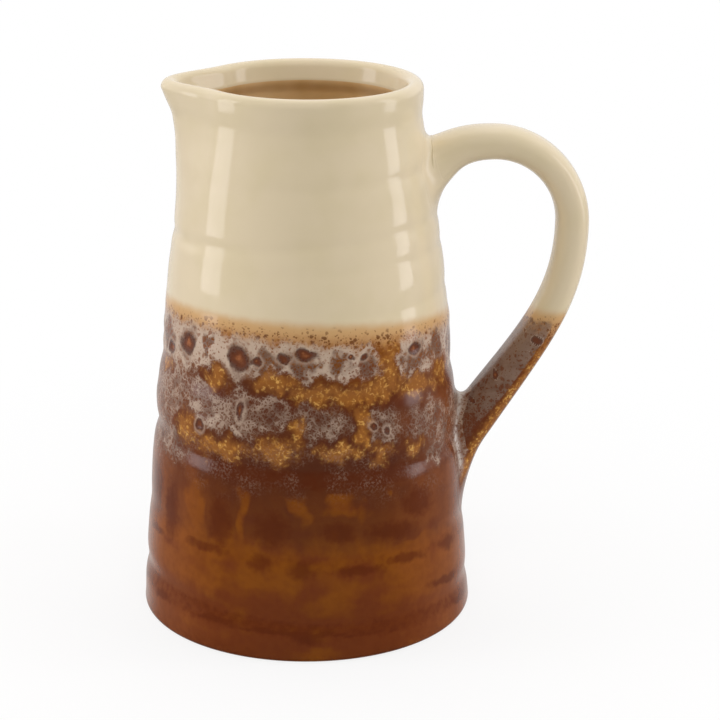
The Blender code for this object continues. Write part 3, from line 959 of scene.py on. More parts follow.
    def build(self, glaze: GlazeLayout) -> bpy.types.Object:
        """Lofts the strap between its roots, with both ends just below the wall's skin.

        Args:
            glaze: Where the glazes lie.

        Returns:
            The handle's object.
        """
        points, _ = self.skin()
        leaves, meets = self.seats(points, -self.sink)
        share = np.linspace(0.0, 1.0, self.rows)[:, None]
        grid = self.read(points, leaves + share * (meets - leaves))
        return add_skin("glazed_handle", grid, self.fields(glaze, grid))


class Root(Enum):
    """The handle's two roots, as directions along the handle away from the wall."""

    UPPER = 1
    LOWER = -1


@dataclass
class LutedJoint:
    """Soft clay pressed into the corner round a root, as a hollow fillet that is longer below the root.

    Attributes:
        handle: The handle that the fillet joins to the wall.
        root: Which root it goes round.
        crook_size: Size of the fillet straight above the root.
        side_size: Size of the fillet beside the root.
        tail_size: Size of the fillet straight below the root.
        pull: How far its curve is drawn towards the corner, as a share.
        arc: Points on that curve.
        proud: How far its edges stand off the wall and the handle.
        tuck: How far its back goes on past its edges, out of sight.
        buried: How far below the skins the back lies at its ends.
        back_share: Where the back is deepest, as a share of the size.
        back_sink: How far below the skins it lies there.
        crease_place: Where the pale crease runs, as a share of the curve.
        crease_width: Share of the curve over which it fades.
    """

    handle: StrapHandle
    root: Root
    crook_size: float
    side_size: float
    tail_size: float
    pull: float = 0.5
    arc: int = 14
    proud: float = 0.05 * MM
    tuck: float = 1.6 * MM
    buried: float = 0.25 * MM
    back_share: float = 0.6
    back_sink: float = 0.5 * MM
    crease_place: float = 0.45
    crease_width: float = 0.15

    def on_wall(self, angle: Array, height: Array, lift: float) -> Array:
        """Points a small lift off the wall."""
        radius = self.handle.body.wall(height, np.cos(angle)) + lift
        return np.stack((radius * np.cos(angle), radius * np.sin(angle), height), axis=-1)

    def build(self, name: str, glaze: GlazeLayout) -> bpy.types.Object:
        """Carries a three-sided section round the root.

        Its foot lies on the wall, its top on the handle, and between them runs a cubic curve that leaves both
        towards the corner.

        Args:
            name: Name of the piece.
            glaze: Where the glazes lie.

        Returns:
            The joint's object.
        """
        handle = self.handle
        points, facing = handle.skin()
        leaves, meets = handle.seats(points, 0.0)
        rows = leaves if self.root is Root.UPPER else meets
        corner = handle.read(points, rows)
        angle = np.arctan2(corner[:, 1], corner[:, 0])
        height = corner[:, 2]
        radius = handle.body.wall(height, np.cos(angle)).mean()
        run = radius * angle
        step_run = np.roll(run, -1) - np.roll(run, 1)
        step_up = np.roll(height, -1) - np.roll(height, 1)
        normal = unit(np.stack((step_up, -step_run), axis=-1))
        away = np.stack((run - run.mean(), height - height.mean()), axis=-1)
        normal = normal * np.sign(np.sum(normal * away))
        below, above = np.maximum(-normal[:, 1], 0.0) ** 2, np.maximum(normal[:, 1], 0.0) ** 2
        size = self.side_size + (self.tail_size - self.side_size) * below
        size = size + (self.crook_size - self.side_size) * above

        def foot_at(distance: Array, lift: float) -> Array:
            """The root's edge grown along the wall by a distance, and lifted off it."""
            along_wall = angle + distance * normal[:, 0] / radius
            return self.on_wall(along_wall, height + distance * normal[:, 1], lift)

        steps = np.arange(handle.samples)[:, None]
        lines = handle.read(points, rows + self.root.value * steps)
        walked = np.linalg.norm(np.diff(lines, axis=0), axis=2)
        walked = np.concatenate((np.zeros((1, handle.section)), np.cumsum(walked, axis=0)))
        column = np.arange(handle.section)

        def top_at(distance: Array, lift: float) -> Array:
            """The root's edge moved out along the handle and lifted off it.

            Args:
                distance: How far each of its points moves.
                lift: How far it is lifted.

            Returns:
                The moved points.
            """
            past = np.argmax(walked >= distance, axis=0)
            extra = (distance - walked[past - 1, column]) / (walked[past, column] - walked[past - 1, column])
            at = rows + self.root.value * (past - 1 + extra)
            return handle.read(points, at) + lift * handle.read(facing, at)

        foot = foot_at(size, self.proud)
        top = top_at(size, self.proud)
        low, high = foot + self.pull * (corner - foot), top + self.pull * (corner - top)
        share = np.linspace(0.0, 1.0, self.arc)
        curve = cubic(share[:, None, None], foot, low, high, top)
        tucked, middle = size + self.tuck, self.back_share * size
        back = (top_at(tucked, -self.buried), top_at(middle, -self.back_sink),
                foot_at(middle, -self.back_sink), foot_at(tucked, -self.buried))
        grid = np.concatenate((curve, np.stack(back)))
        flat = np.zeros(grid.shape[:2])
        outer = np.cos(round_angles(handle.section))[None, :] + flat
        depth = glaze.depth(grid)
        along = np.concatenate((share, (1.0, 1.0, 0.0, 0.0)))[:, None] + flat
        crease = np.exp(-(((along - self.crease_place) / self.crease_width) ** 2))
        crease = crease * smooth(depth, 30.0, 38.0) * (1.0 - smooth(outer, 0.35, 0.8))
        fields = {
            Mark.DEPTH: depth,
            Mark.FOAM: 0.55 - 1.2 * smooth(outer, 0.3, 0.8) + flat,
            Mark.LOBE: flat,
            Mark.GOLD: 0.9 - 3.4 * np.abs(outer - 0.72) - 1.3 * (1.0 - smooth(along, 0.0, 0.6)),
            Mark.CRATER: flat + FAR,
            Mark.POOL: flat + 0.3,
            Mark.SEAM: crease,
            Mark.INSIDE: flat,
        }
        return add_skin(name, grid, fields, ring=True)


def colour(red: float, green: float, blue: float) -> Quad:
    """Linear colour of an sRGB one.

    Args:
        red: Red, from 0 to 255.
        green: Green.
        blue: Blue.

    Returns:
        The colour, with an alpha of 1.
    """
    shares = np.array((red, green, blue)) / 255.0
    linear = np.where(shares <= 0.04045, shares / 12.92, ((shares + 0.055) / 1.055) ** 2.4)
    return (*map(float, linear), 1.0)


@dataclass(frozen=True)
class Palette:
    """Colours of the glazes and the clay, as they look under plain light."""

    cream: Quad = colour(226, 211, 180)
    cream_pool: Quad = colour(216, 202, 162)
    tan: Quad = colour(208, 168, 118)
    tan_deep: Quad = colour(190, 142, 92)
    amber: Quad = colour(164, 104, 46)
    speck: Quad = colour(92, 42, 14)
    foam_grey: Quad = colour(118, 90, 74)
    foam_pale: Quad = colour(196, 174, 154)
    foam_dark: Quad = colour(96, 68, 57)
    seam: Quad = colour(198, 186, 176)
    pinhole: Quad = colour(78, 48, 40)
    gold: Quad = colour(151, 95, 42)
    gold_deep: Quad = colour(107, 60, 34)
    fleck: Quad = colour(224, 174, 92)
    fleck_deep: Quad = colour(190, 130, 54)
    red_brown: Quad = colour(112, 54, 20)
    dark_brown: Quad = colour(88, 43, 22)
    honey: Quad = colour(130, 71, 13)
    belt_brown: Quad = colour(78, 38, 25)
    # Dark brown of pooled glaze and of painted shade and reflection in the grooves; also the brown's random
    # mottle.
    pool_and_shade_brown: Quad = colour(87, 34, 10)
    # Painted side light: a lighter brown towards the sides that face the side lamps.
    side_lit_brown: Quad = colour(148, 82, 40)
    crater_core: Quad = colour(106, 58, 36)
    crater_ring: Quad = colour(96, 70, 60)
    crater_glint: Quad = colour(176, 108, 64)
    lining: Quad = colour(230, 197, 148)
    lining_deep: Quad = colour(212, 174, 120)
    clay: Quad = colour(203, 172, 134)
    clay_dark: Quad = colour(176, 142, 104)


class Graph:
    """Adds nodes to a shader tree. Its methods take numbers, colours or sockets, and return new sockets."""

    def __init__(self, tree: bpy.types.NodeTree) -> None:
        """Keeps the tree that nodes are added to."""
        self.tree = tree

    def add(self, kind: str, *values: Value, **settings: object) -> bpy.types.Node:
        """Adds a node.

        Args:
            kind: Kind of the node.
            values: What its first inputs get, in their order.
            settings: Its properties by name.

        Returns:
            The new node.
        """
        node = self.tree.nodes.new(kind)
        for name, setting in settings.items():
            setattr(node, name, setting)
        for socket, value in zip(node.inputs, values):
            self.feed(socket, value)
        return node

    def feed(self, socket: Socket, value: Value) -> None:
        """Links a socket to another, or sets its value.

        Args:
            socket: The input to feed.
            value: What it gets.
        """
        if isinstance(value, bpy.types.NodeSocket):
            self.tree.links.new(value, socket)
        else:
            socket.default_value = value

    def math(self, operation: str, first: Value, second: Value) -> Socket:
        """One sum, product or other operation on two numbers."""
        return self.add("ShaderNodeMath", first, second, operation=operation).outputs[0]

    def plus(self, first: Value, second: Value) -> Socket:
        """Sum of two numbers."""
        return self.math("ADD", first, second)

    def minus(self, first: Value, second: Value) -> Socket:
        """Difference of two numbers."""
        return self.math("SUBTRACT", first, second)

    def times(self, first: Value, second: Value) -> Socket:
        """Product of two numbers."""
        return self.math("MULTIPLY", first, second)

    def larger(self, first: Value, second: Value) -> Socket:
        """Larger of two numbers."""
        return self.math("MAXIMUM", first, second)

    def jitter(self, value: Value, texture: Socket, amount: float) -> Socket:
        """A value moved up and down by a texture that runs from 0 to 1."""
        push = self.minus(texture, 0.5)
        return self.add("ShaderNodeMath", push, amount, value, operation="MULTIPLY_ADD").outputs[0]

    def step(self, value: Value, low: Value, high: Value, start: float = 0.0, stop: float = 1.0) -> Socket:
        """Smooth step from start below low to stop above high."""
        limits = (value, low, high, start, stop)
        return self.add("ShaderNodeMapRange", *limits, interpolation_type="SMOOTHSTEP").outputs[0]

    def mix(self, share: Value, first: Value, second: Value) -> Socket:
        """Colour between two colours.

        Args:
            share: How much of the second it has.
            first: The first colour.
            second: The second colour.

        Returns:
            The mixed colour.
        """
        node = self.add("ShaderNodeMix", share, data_type="RGBA")
        self.feed(node.inputs[MIX_FIRST], first)
        self.feed(node.inputs[MIX_SECOND], second)
        return node.outputs[MIX_RESULT]

    def parts(self, vector: Value) -> bpy.types.NodeOutputs:
        """The x, y and z of a vector."""
        return self.add("ShaderNodeSeparateXYZ", vector).outputs

    def tints(self, shade: Socket) -> bpy.types.NodeOutputs:
        """The red, green and blue of a colour."""
        return self.add("ShaderNodeSeparateColor", shade).outputs

    def stretch(self, vector: Value, scale: Triple) -> Socket:
        """A vector scaled along each axis."""
        return self.add("ShaderNodeVectorMath", vector, scale, operation="MULTIPLY").outputs[0]

    def noise(self, vector: Value, size: float, detail: float = 2.0, rough: float = 0.5) -> Socket:
        """Soft noise.

        Args:
            vector: Where it is read.
            size: About how far across its features are.
            detail: How many finer layers it has.
            rough: How strong these are.

        Returns:
            The noise, from 0 to 1.
        """
        node = self.add("ShaderNodeTexNoise", vector, noise_dimensions="3D")
        node.inputs["Scale"].default_value = 1.0 / size
        node.inputs["Detail"].default_value = detail
        node.inputs["Roughness"].default_value = rough
        return node.outputs[0]

    def warp(self, vector: Value, size: float, amount: float) -> Socket:
        """A vector pushed about by noise, so that what reads it loses its regular look.

        Args:
            vector: The vector.
            size: Size of the noise.
            amount: How far it pushes.

        Returns:
            The pushed vector.
        """
        push = self.noise(vector, size).node.outputs["Color"]
        sizes = (amount,) * 3
        return self.add("ShaderNodeVectorMath", push, sizes, vector, operation="MULTIPLY_ADD").outputs[0]

    def voronoi(self, vector: Value, fineness: Value, feature: str) -> bpy.types.NodeOutputs:
        """Cell texture.

        Args:
            vector: Where it is read.
            fineness: How many cells there are to a millimetre.
            feature: What its distance is measured to.

        Returns:
            The texture's outputs.
        """
        node = self.add("ShaderNodeTexVoronoi", vector, voronoi_dimensions="3D", feature=feature)
        self.feed(node.inputs["Scale"], fineness)
        return node.outputs

    def cells(self, vector: Value, fineness: Value) -> tuple[Socket, Socket]:
        """Cells: the distance to the nearest middle, and that cell's random colour."""
        outputs = self.voronoi(vector, fineness, "F1")
        return outputs["Distance"], outputs["Color"]

    def web(self, vector: Value, fineness: Value) -> Socket:
        """Distance to the walls between such cells."""
        return self.voronoi(vector, fineness, "DISTANCE_TO_EDGE")["Distance"]


class ShaderGroup(Graph):
    """A shader node group with named inputs and outputs, which materials share."""

    def __init__(self, name: str, inputs: dict[str, str], outputs: dict[str, str]) -> None:
        """Makes the group and its sockets.

        Args:
            name: Name of the group.
            inputs: Kind of each input by its name, such as Float or Vector.
            outputs: Kind of each output by its name.
        """
        super().__init__(bpy.data.node_groups.new(name, "ShaderNodeTree"))
        for words, place in ((inputs, "INPUT"), (outputs, "OUTPUT")):
            for socket, kind in words.items():
                self.tree.interface.new_socket(socket, in_out=place, socket_type=f"NodeSocket{kind}")
        self.inside = self.add("NodeGroupInput").outputs
        self.outside = self.add("NodeGroupOutput").inputs

    def place(self, graph: Graph, values: dict[str, Value]) -> bpy.types.NodeOutputs:
        """Puts the group into another tree and feeds its inputs.

        Args:
            graph: The tree to place it in.
            values: Number, vector or socket for each input by its name.

        Returns:
            The placed group's outputs.
        """
        node = graph.add("ShaderNodeGroup", node_tree=self.tree)
        for name, value in values.items():
            graph.feed(node.inputs[name], value)
        return node.outputs


def speck_group() -> ShaderGroup:
    """Round specks: cells whose random radius is above zero only for a share of them that Density sets.

    Returns:
        The group, which puts out a mask of the specks.
    """
    inputs = {"Place": "Vector", "Fineness": "Float", "Density": "Float"}
    group = ShaderGroup("glaze_specks", inputs, {"Mask": "Float"})
    distance, tint = group.cells(group.inside["Place"], group.inside["Fineness"])
    red, green, _ = group.tints(tint)
    chosen = group.step(group.minus(group.inside["Density"], red), 0.0, 0.08)
    radius = group.plus(group.times(green, 0.34), 0.14)
    dot = group.step(group.minus(radius, distance), -0.11, 0.10)
    group.feed(group.outside["Mask"], group.times(dot, chosen))
    return group


def film_group() -> ShaderGroup:
    """Film of burst bubbles: nearly whole where Thickness is 1, and threads between holes as it falls to 0.

    It covers what is nearer to a cell's walls than a reach, which grows with Thickness and is random for each
    cell.

    Returns:
        The group, which puts out a mask of the film.
    """
    inputs = {"Place": "Vector", "Fineness": "Float", "Thickness": "Float"}
    group = ShaderGroup("bubble_film", inputs, {"Film": "Float"})
    place = group.warp(group.inside["Place"], 1.7, 0.9)
    red = group.tints(group.cells(place, group.inside["Fineness"])[1])[0]
    reach = group.jitter(group.times(group.inside["Thickness"], 0.36), red, 0.24)
    gap = group.minus(group.web(place, group.inside["Fineness"]), reach)
    group.feed(group.outside["Film"], group.step(gap, -0.12, 0.12, 1.0, 0.0))
    return group


class ReactiveGlaze:
    """The jug's finish in one group: cream, the reactive band, the brown, the lining and the bare foot.

    Lengths inside the group are in millimetres. Its layers share three noises: broad, middling and fine.
    """

    BROAD, MIDDLING, FINE = 22.0, 4.5, 1.1
    CLAY_ROUGHNESS = 0.62
    INPUTS = {"Place": "Vector", "Dusk": "Float", **{mark.socket: "Float" for mark in Mark}}
    OUTPUTS = {"Color": "Color", "Roughness": "Float", "Height": "Float"}

    def __init__(self, palette: Palette) -> None:
        """Builds the shared groups.

        Args:
            palette: Colours of the glazes.
        """
        self.palette = palette
        self.specks = speck_group()
        self.film = film_group()
        self.group = ShaderGroup("reactive_glaze", self.INPUTS, self.OUTPUTS)
        self.build()

    def build(self) -> None:
        """Layers the finishes from the bottom of the glaze upwards."""
        g, p, place = self.group, self.palette, self.group.inside["Place"]
        depth = g.inside["Depth"]
        broad = g.noise(place, self.BROAD)
        middling = g.noise(place, self.MIDDLING, 3.0)
        fine = g.noise(place, self.FINE, 2.0)

        brown = self.brown(depth, broad)
        golden, gold_mask = self.gold(middling)
        under = g.mix(gold_mask, brown, golden)
        foam, film, pores = self.foam(depth, middling, fine)
        blister = g.times(g.noise(place, 1.3, 2.0), g.step(depth, 40.0, 52.0))
        blister = g.times(blister, g.step(depth, 66.0, 84.0, 1.0, 0.0))
        reactive = self.craters(g.mix(film, under, foam), middling, fine, pores)

        edge = g.jitter(depth, middling, 1.4)
        tan = self.tan(depth, edge)
        rise = g.plus(depth, g.step(g.inside["Foam"], -0.3, 0.5, -1.0, 3.0))
        ragged = g.jitter(g.jitter(rise, g.noise(place, 2.6, 3.0), 6.0), fine, 2.0)
        dipped = g.mix(g.step(ragged, 2.5, 11.5), tan, reactive)
        cream = g.mix(g.step(broad, 0.40, 0.66, 0.0, 0.30), p.cream, p.cream_pool)
        coat = g.mix(g.step(edge, -2.4, 2.6), cream, dipped)

        coat = g.mix(g.times(g.inside["Seam"], g.step(fine, 0.25, 0.6)), coat, p.seam)
        lining = g.mix(g.step(broad, 0.35, 0.7), p.lining, p.lining_deep)
        coat = g.mix(g.step(g.inside["Inside"], 0.35, 0.65), coat, lining)
        clay_mask = self.bare_foot(fine)
        clay = g.mix(g.noise(place, 3.0, 4.0, 0.7), p.clay_dark, p.clay)
        g.feed(g.outside["Color"], g.mix(clay_mask, coat, clay))

        gloss = g.plus(g.times(film, 0.08), g.step(depth, 6.0, 20.0, 0.10, 0.18))
        gloss = g.jitter(gloss, fine, 0.05)
        g.feed(g.outside["Roughness"], g.plus(gloss, g.times(clay_mask, self.CLAY_ROUGHNESS)))
        swell = g.plus(g.times(g.noise(place, 11.0, 1.0), 0.08), g.times(blister, 0.05))
        skin = g.times(g.times(film, g.step(ragged, 3.0, 10.5)), 0.06)
        grit = g.times(g.times(fine, clay_mask), 0.12)
        g.feed(g.outside["Height"], g.plus(g.plus(swell, skin), grit))

    def brown(self, depth: Socket, broad: Socket) -> Socket:
        """The brown glaze: honey runs through red-brown, and a dark belt under the foam with honey windows.

        The grooves and the pool patches are darker: pooled glaze, with painted shade and reflection in the
        grooves.
        Towards the lip and the handle, which face the side lamps, the brown is lighter: painted side light.

        Args:
            depth: Depth below the glaze line.
            broad: Noise that makes the belt's edges uneven.

        Returns:
            Its colour.
        """
        g, p, place = self.group, self.palette, self.group.inside["Place"]
        runs = g.noise(g.stretch(g.warp(place, 14.0, 8.0), (1.0, 1.0, 0.40)), 9.0, 2.0)
        clouds = g.noise(g.stretch(g.warp(place, 9.0, 5.0), (0.7, 0.7, 1.7)), 15.0, 1.0)
        tone = g.plus(g.times(runs, 0.35), g.times(clouds, 0.65))
        tone = g.plus(tone, g.step(depth, 102.0, 128.0, 0.05, -0.13))
        base = g.mix(g.step(tone, 0.37, 0.60), p.red_brown, p.honey)
        grain = g.noise(place, 2.6, 3.0)
        ragged = g.jitter(g.jitter(g.inside["Pool"], g.noise(place, 5.0, 2.0), 1.6), runs, 0.8)
        window = g.step(ragged, -2.2, -0.8, 1.0, 0.0)
        belt = g.jitter(g.jitter(depth, broad, 12.0), runs, 18.0)
        top = g.times(g.step(belt, 14.0, 30.0), g.step(window, 0.0, 1.0, 1.0, 0.0))
        base = g.mix(g.times(top, g.step(belt, 84.0, 96.0, 0.66, 0.0)), base, p.dark_brown)
        base = g.mix(g.times(top, g.step(belt, 62.0, 84.0, 0.60, 0.0)), base, p.belt_brown)
        base = g.mix(g.times(window, 0.55), base, p.honey)
        # Painted side light: the brown turns lighter towards the lip and the handle, which face the side
        # lamps.
        across = g.math("ABSOLUTE", g.parts(place)[0], 0.0)
        aside = g.jitter(g.jitter(across, clouds, 20.0), runs, 24.0)
        base = g.mix(g.step(aside, 28.0, 70.0, 0.0, 0.62), base, p.side_lit_brown)
        base = g.mix(g.step(grain, 0.40, 0.68, 0.0, 0.14), base, p.pool_and_shade_brown)
        # Painted shade and reflection in the grooves, together with pooled glaze: darker brown where the pool
        # value is high.
        pooled_and_shaded = g.jitter(g.jitter(g.inside["Pool"], grain, 0.7), runs, 0.5)
        return g.mix(g.step(pooled_and_shaded, -0.20, 0.60, 0.0, 0.64), base, p.pool_and_shade_brown)

    def gold(self, middling: Socket) -> tuple[Socket, Socket]:
        """Golden patches where the glaze is thin, with a broken web of yellow flecks.

        Args:
            middling: Noise that makes the patches uneven.

        Returns:
            Their colour and their mask.
        """
        g, p, place = self.group, self.palette, self.group.inside["Place"]
        grain = g.noise(place, 1.9, 2.0)
        patch = g.jitter(g.jitter(g.inside["Gold"], middling, 1.2), grain, 0.5)
        glow = g.plus(g.step(patch, -0.6, 0.8), g.noise(place, 2.6, 2.0))
        body = g.mix(g.step(glow, 0.5, 1.5), p.gold_deep, p.gold)
        web = g.web(g.warp(place, 2.4, 2.2), 0.46)
        threads = g.times(g.step(web, 0.0, 0.20, 1.0, 0.0), g.step(grain, 0.47, 0.62))
        dots = self.specks.place(g, {"Place": place, "Fineness": 0.52, "Density": 0.26})["Mask"]
        flecks = g.times(g.larger(threads, dots), g.step(patch, -0.50, 0.45))
        bright = g.mix(g.step(g.noise(place, 3.6), 0.40, 0.62), p.fleck_deep, p.fleck)
        return g.mix(g.times(flecks, 0.85), body, bright), g.step(patch, -0.55, 0.75)

    def foam(self, depth: Socket, middling: Socket, fine: Socket) -> tuple[Socket, Socket, Socket]:
        """Lavender-grey foam, pale along the edges of its lobes and grey within.

        The lower row is thinner and more open, apart from its blooms, which stay thick and pale. A speckled
        haze hangs below it. Dusk greys all of it.

        Args:
            depth: Depth below the glaze line.
            middling: Noise that makes the lobes uneven.
            fine: Noise that frays their edges.

        Returns:
            Its colour, the film that covers what is below, and the finer of the two films in it.
        """
        g, p, place = self.group, self.palette, self.group.inside["Place"]
        bright = g.step(g.inside["Gold"], -0.7, 0.3, 0.0, 0.8)
        spread = g.minus(g.jitter(g.jitter(g.inside["Foam"], middling, 1.1), fine, 0.2), bright)
        lobe = g.jitter(g.jitter(g.inside["Lobe"], middling, 0.8), fine, 0.2)
        lower = g.times(g.step(depth, 22.0, 34.0), g.step(lobe, -3.1, -2.3, 0.32, 1.0))
        lobed = g.times(g.step(lobe, 0.05, 0.70), g.step(lower, 0.0, 1.0, 0.85, 0.5))
        within = g.jitter(lobed, g.noise(place, 3.2, 3.0), 1.1)
        cloud = g.step(g.noise(place, 6.0, 2.0), 0.38, 0.62)
        veil = g.times(g.step(spread, -0.80, 0.30), g.step(lower, 0.0, 1.0, 0.95, 0.79))
        thick = g.times(g.step(spread, -0.80, 0.50), g.step(lower, 0.0, 1.0, 0.95, 0.60))
        thick = g.times(thick, g.step(within, 0.1, 0.9, 1.0, 0.55))
        coarse = self.film.place(g, {"Place": place, "Fineness": 0.42, "Thickness": thick})["Film"]
        aside = g.stretch(place, (1.03, 0.98, 1.0))
        close = self.film.place(g, {"Place": aside, "Fineness": 0.85, "Thickness": thick})["Film"]
        lace = g.times(g.step(coarse, 0.0, 1.0, 0.35, 1.0), g.step(close, 0.0, 1.0, 0.25, 1.0))
        below = g.times(g.step(depth, 46.0, 54.0), g.step(depth, 62.0, 78.0, 1.0, 0.0))
        drift = g.step(g.noise(g.stretch(place, (1.0, 1.0, 1.2)), 11.0, 2.0), 0.42, 0.62)
        speckle = g.step(g.noise(place, 0.9, 2.0, 0.6), 0.42, 0.66)
        haze = g.times(g.times(speckle, drift), 0.22)
        film = g.larger(g.times(lace, veil), g.times(haze, below))
        body = g.mix(g.step(within, 0.0, 0.9), p.foam_pale, p.foam_grey)
        deep = g.mix(g.step(within, -0.1, 0.7), p.foam_grey, p.foam_dark)
        body = g.mix(g.times(lower, g.step(cloud, 0.0, 1.0, 0.85, 0.35)), body, deep)
        return g.mix(g.inside["Dusk"], body, p.foam_grey), film, close

    def craters(self, ground: Socket, middling: Socket, fine: Socket, pores: Socket) -> Socket:
        """Burst craters laid over the foam.

        Args:
            ground: Colour of the foam and what shows through it.
            middling: Noise that makes the craters uneven.
            fine: Noise that frays their edges.
            pores: Film whose holes pit the craters' rings.

        Returns:
            The colour with each crater's pale halo, grey pitted ring, and brown floor with a lighter middle.
        """
        g, p = self.group, self.palette
        reach = g.jitter(g.jitter(g.inside["Crater"], middling, 0.8), fine, 0.4)
        halo = g.times(g.step(reach, 0.9, 1.3), g.step(reach, 1.2, 2.0, 1.0, 0.0))
        coat = g.mix(g.times(halo, 0.42), ground, p.foam_pale)
        ring = g.mix(pores, p.pinhole, p.crater_ring)
        coat = g.mix(g.step(reach, 0.80, 1.22, 0.92, 0.0), coat, ring)
        coat = g.mix(g.step(reach, 0.45, 0.95, 1.0, 0.0), coat, p.crater_core)
        return g.mix(g.step(reach, 0.02, 0.48, 0.75, 0.0), coat, p.crater_glint)

    def tan(self, depth: Socket, edge: Socket) -> Socket:
        """The tan seam where the two glazes mix, with brown specks that grow denser and darker downwards.

        Args:
            depth: Depth below the glaze line.
            edge: The same depth, made uneven.

        Returns:
            Its colour.
        """
        g, p, place = self.group, self.palette, self.group.inside["Place"]
        seam = g.mix(g.step(edge, 1.5, 9.0), p.tan, p.tan_deep)
        blotch = g.times(g.step(edge, 3.0, 9.0), g.step(g.noise(place, 4.0, 3.0), 0.46, 0.66))
        seam = g.mix(g.times(blotch, 0.8), seam, p.amber)
        crowd = g.step(depth, -0.5, 7.0, 0.03, 0.95)
        uneven = g.warp(place, 1.5, 1.5)

        def specks(fineness: float, share: float) -> Socket:
            """Mask of specks of one size."""
            values = {"Place": uneven, "Fineness": fineness, "Density": g.times(crowd, share)}
            return self.specks.place(g, values)["Mask"]

        spots = g.larger(g.times(specks(0.95, 0.85), 0.75), g.times(specks(0.46, 0.8), 0.85))
        return g.mix(g.times(spots, g.step(depth, 1.0, 6.0, 0.45, 1.0)), seam, p.speck)

    def bare_foot(self, fine: Socket) -> Socket:
        """Mask of the clay that was wiped bare at the foot: everything below a slightly uneven height."""
        height = self.group.parts(self.group.inside["Place"])[2]
        return self.group.step(self.group.jitter(height, fine, 0.5), 0.45, 0.8, 1.0, 0.0)

    def material(self, name: str, bump: float, dusk: float = 0.0) -> bpy.types.Material:
        """A material that reads a piece's own glaze values.

        Args:
            name: Name of the material.
            bump: Strength of the fine relief.
            dusk: How far the foam is greyed.

        Returns:
            The material.
        """
        material = bpy.data.materials.new(name)
        material.use_nodes = True
        graph = Graph(material.node_tree)
        shader = material.node_tree.nodes["Principled BSDF"]
        coordinates = graph.add("ShaderNodeTexCoord")
        values = {"Place": graph.stretch(coordinates.outputs["Object"], (1.0 / MM,) * 3), "Dusk": dusk}
        for mark in Mark:
            layer = graph.add("ShaderNodeAttribute", attribute_type="GEOMETRY", attribute_name=mark.value)
            values[mark.socket] = layer.outputs["Fac"]
        look = self.group.place(graph, values)
        relief = graph.add("ShaderNodeBump")
        relief.inputs["Strength"].default_value = bump
        relief.inputs["Distance"].default_value = MM
        graph.feed(relief.inputs["Height"], look["Height"])
        graph.feed(shader.inputs["Base Color"], look["Color"])
        graph.feed(shader.inputs["Roughness"], look["Roughness"])
        graph.feed(shader.inputs["Normal"], relief.outputs["Normal"])
        shader.inputs["IOR"].default_value = GLAZE_IOR
        return material


